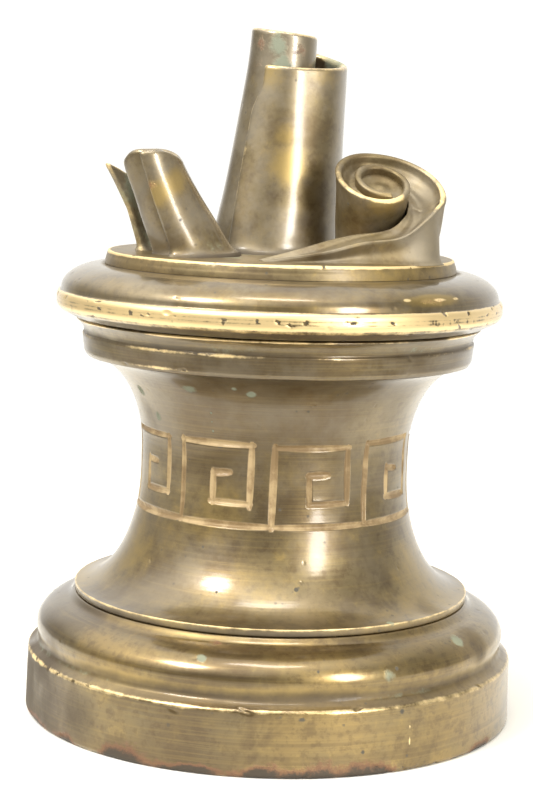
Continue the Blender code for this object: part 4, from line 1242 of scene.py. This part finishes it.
def old_steel():
    """Grey steel with specks of rust."""
    s = Shader("old_steel")
    cloud = s.noise(180.0, 5.0, 0.6)
    fine = s.noise(900.0, 4.0, 0.7)
    rust = s.window(fine, 0.60, 0.72)
    colour = s.blend(rust, s.blend(cloud, (0.36, 0.355, 0.35), (0.52, 0.51, 0.50)), (0.20, 0.09, 0.045))
    rough = s.plus(0.28, s.times(rust, 0.4))
    metal = s.math("SUBTRACT", 1.0, s.times(rust, 0.8))
    return s.finish(colour, rough, metal, s.bump(fine, 0.25, 0.00008))


def old_leather():
    """Brown leather with a fine grain."""
    s = Shader("old_leather")
    cloud = s.noise(160.0, 4.0, 0.6)
    colour = s.blend(cloud, (0.11, 0.055, 0.028), (0.22, 0.12, 0.06))
    rough = s.plus(0.55, s.times(cloud, 0.2))
    return s.finish(colour, rough, 0.0, s.bump(s.cells(900.0), 0.5, 0.00012))


def green_felt():
    """Pressed wool: short tangled fibres and a slight fuzz."""
    s = Shader("green_wool_felt")
    long_fibres = s.noise(1.0, 4.0, 0.7, vector=s.stretched(700.0, 2600.0, 1500.0), distortion=1.5)
    cross_fibres = s.noise(1.0, 4.0, 0.7, vector=s.stretched(2600.0, 700.0, 1500.0), distortion=1.5)
    fibres = s.math("MAXIMUM", long_fibres, cross_fibres)
    colour = s.blend(s.window(fibres, 0.42, 0.72), (0.035, 0.085, 0.045), (0.10, 0.19, 0.10))
    colour = s.tint(colour, s.noise(110.0, 3.0, 0.5), 0.4, (0.12, 0.17, 0.08))
    s.feed(s.surface.inputs["Sheen Weight"], 0.35)
    return s.finish(colour, 0.95, 0.0, s.bump(fibres, 0.8, 0.00025))


def used_paper():
    """Soft off-white paper, grey where it has been pressed, with faint mirrored traces of ink."""
    s = Shader("used_blotting_paper")
    cloud = s.noise(60.0, 5.0, 0.6)
    fibres = s.noise(1.0, 5.0, 0.75, vector=s.stretched(1500.0, 2300.0, 1500.0), distortion=1.2)
    colour = s.blend(s.window(cloud, 0.35, 0.65), (0.74, 0.70, 0.60), (0.66, 0.61, 0.50))
    colour = s.tint(colour, s.window(fibres, 0.45, 0.75), 0.35, (0.80, 0.77, 0.69))
    strokes = s.noise(1.0, 2.0, 0.5, vector=s.stretched(170.0, 480.0, 90.0), distortion=2.4)
    line = s.window(s.math("ABSOLUTE", s.math("SUBTRACT", strokes, 0.5)), 0.035, 0.008)
    here = s.window(s.noise(75.0, 2.0, 0.5), 0.46, 0.60)
    feather = s.plus(0.35, s.times(s.window(fibres, 0.36, 0.62), 0.4))
    ink = s.times(s.times(line, here), feather)
    colour = s.blend(ink, colour, (0.05, 0.06, 0.13))
    colour = s.tint(colour, s.window(s.cells(95.0), 0.11, 0.05), 0.55, (0.06, 0.07, 0.14))
    return s.finish(colour, 0.93, 0.0, s.bump(fibres, 0.35, 0.00012))


def node_sizes(node):
    return node_radius(node), node_bottom(node), node_top(node)


def make_paper_ring(brass):
    """The springy split bezel, with a rolled lip at its foot."""
    radius, low, high = node_sizes("paper_ring")
    inner = radius - 1.9
    keys = [(inner, high, 0.0, 0.2), (radius - 0.5, high, 0.25, 0.5), (radius - 0.1, high - 0.5, 0.2, 0.4)]
    keys += [(radius - 0.35, high - 1.6, 0.3, 0.0, 0.35), (radius - 0.35, low + 1.5, 0.3, 0.0, 0.35)]
    keys += [(radius, low + 0.9, 0.3, 0.3), (radius - 0.1, low + 0.15, 0.35, 0.7)]
    keys += [(radius - 0.9, low, 0.35, 0.7), (inner, low + 0.15, 0.25, 0.4), (inner, high, 0.0, 0.2)]
    ring = Casting(outline(keys, 0.25)[:-1], ROUND)
    ring.nick_edge(81, 16, (radius - 0.1, low + 0.2), 0.4, 0.3, 0.06)
    ring.mesh("paper_ring_split", brass, "machined_brass", "paper_clamp", "paper_ring", split=3)


def make_pad_plate(brass):
    radius, low, high = node_sizes("pad_plate")
    step, spigot, bore = low + 1.0, radius - 2.3, 3.3
    keys = [(bore, high, 0.1, 0.2), (radius - 0.4, high, 0.2, 0.5), (radius, high - 0.4, 0.2, 0.6)]
    keys += [(radius, step + 0.3, 0.2, 0.6), (radius - 0.3, step, 0.2, 0.4), (spigot, step, 0.1, 0.0, 0.5)]
    keys += [(spigot, low + 0.2, 0.15, 0.3), (spigot - 0.2, low, 0.15, 0.3), (7.2, low, 0.15, 0.3)]
    keys += [(7.0, low + 0.2, 0.1, 0.0, 0.4), (7.0, low + 2.2, 0.1, 0.0, 0.5)]
    keys += [(bore, low + 2.2, 0.1, 0.0, 0.4), (bore, high, 0.1, 0.2)]
    plate = Casting(outline(keys, 0.6)[:-1], ROUND // 2)
    plate.mesh("pad_plate_disc", brass, "machined_brass", "pad_carrier", "pad_plate")


def make_felt_pad():
    radius, low, high = node_sizes("felt_pad")
    keys = [(0.0, high), (radius - 0.9, high, 0.4), (radius, high - 0.9, 0.5)]
    keys += [(radius, low + 1.0, 0.6), (radius - 1.0, low, 0.6), (0.0, low)]
    felt = Casting(outline(keys, 0.35), ROUND // 2, closed=False)
    side = smooth((felt.radius - 2.0) / 4.0)
    felt.push += side * (0.05 * felt.waves(91, 12, 60)
                         + 0.04 * felt.waves(92, 12, 40, felt.radius) - 0.06)
    felt.mesh("felt_pad_wool", green_felt(), "green_felt", "pad_carrier", "felt_pad")


def make_blotting_paper():
    """A disc of paper whose edge is crimped up round the felt."""
    radius, low, high = node_sizes("blotting_paper")
    thick = 0.5
    keys = [(0.0, low), (radius - 0.6, low, 0.6), (radius, low + 0.7, 0.6)]
    keys += [(radius, high, 0.1), (radius - thick, high, 0.1)]
    keys += [(radius - thick, low + thick + 0.6, 0.5), (radius - thick - 0.6, low + thick, 0.5)]
    keys += [(0.0, low + thick)]
    paper = Casting(outline(keys, 0.3), ROUND, closed=False)
    wall = smooth((paper.height - low - 0.6) / 1.2) * (paper.radius > radius - 1.2)
    outward = np.sign(paper.normal[:, 0:1] + 1e-9)
    crimp = 0.07 * np.sin(64 * paper.theta) + 0.03 * paper.waves(95, 6, 40)
    paper.push += wall * outward * (crimp - 0.02)
    piece = paper.mesh("blotting_paper_disc", used_paper(), "blotting_paper", "pad_carrier",
                       "blotting_paper")


def dress_inner_nodes(brass):
    """The frame's own inner pieces keep their shape and take a finish by their material slot."""
    finishes = {"machined_brass": brass, "steel": old_steel(), "leather": old_leather()}
    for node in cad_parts.values():
        if node.hide_render:
            continue
        for place in node.material_slots:
            kind = place.material.name.split(".")[0]
            if kind in finishes:
                place.material = finishes[kind]


def make_inside():
    brass = machined_brass()
    make_pad_plate(brass)
    make_paper_ring(brass)
    make_felt_pad()
    make_blotting_paper()
    dress_inner_nodes(brass)


# --- run ----------------------------------------------------------------------------------------
make_camera()
light_studio()
make_foot()
make_waist()
make_neck_ring()
make_cap()
make_scroll_plinth()
make_scrolls()
make_inside()
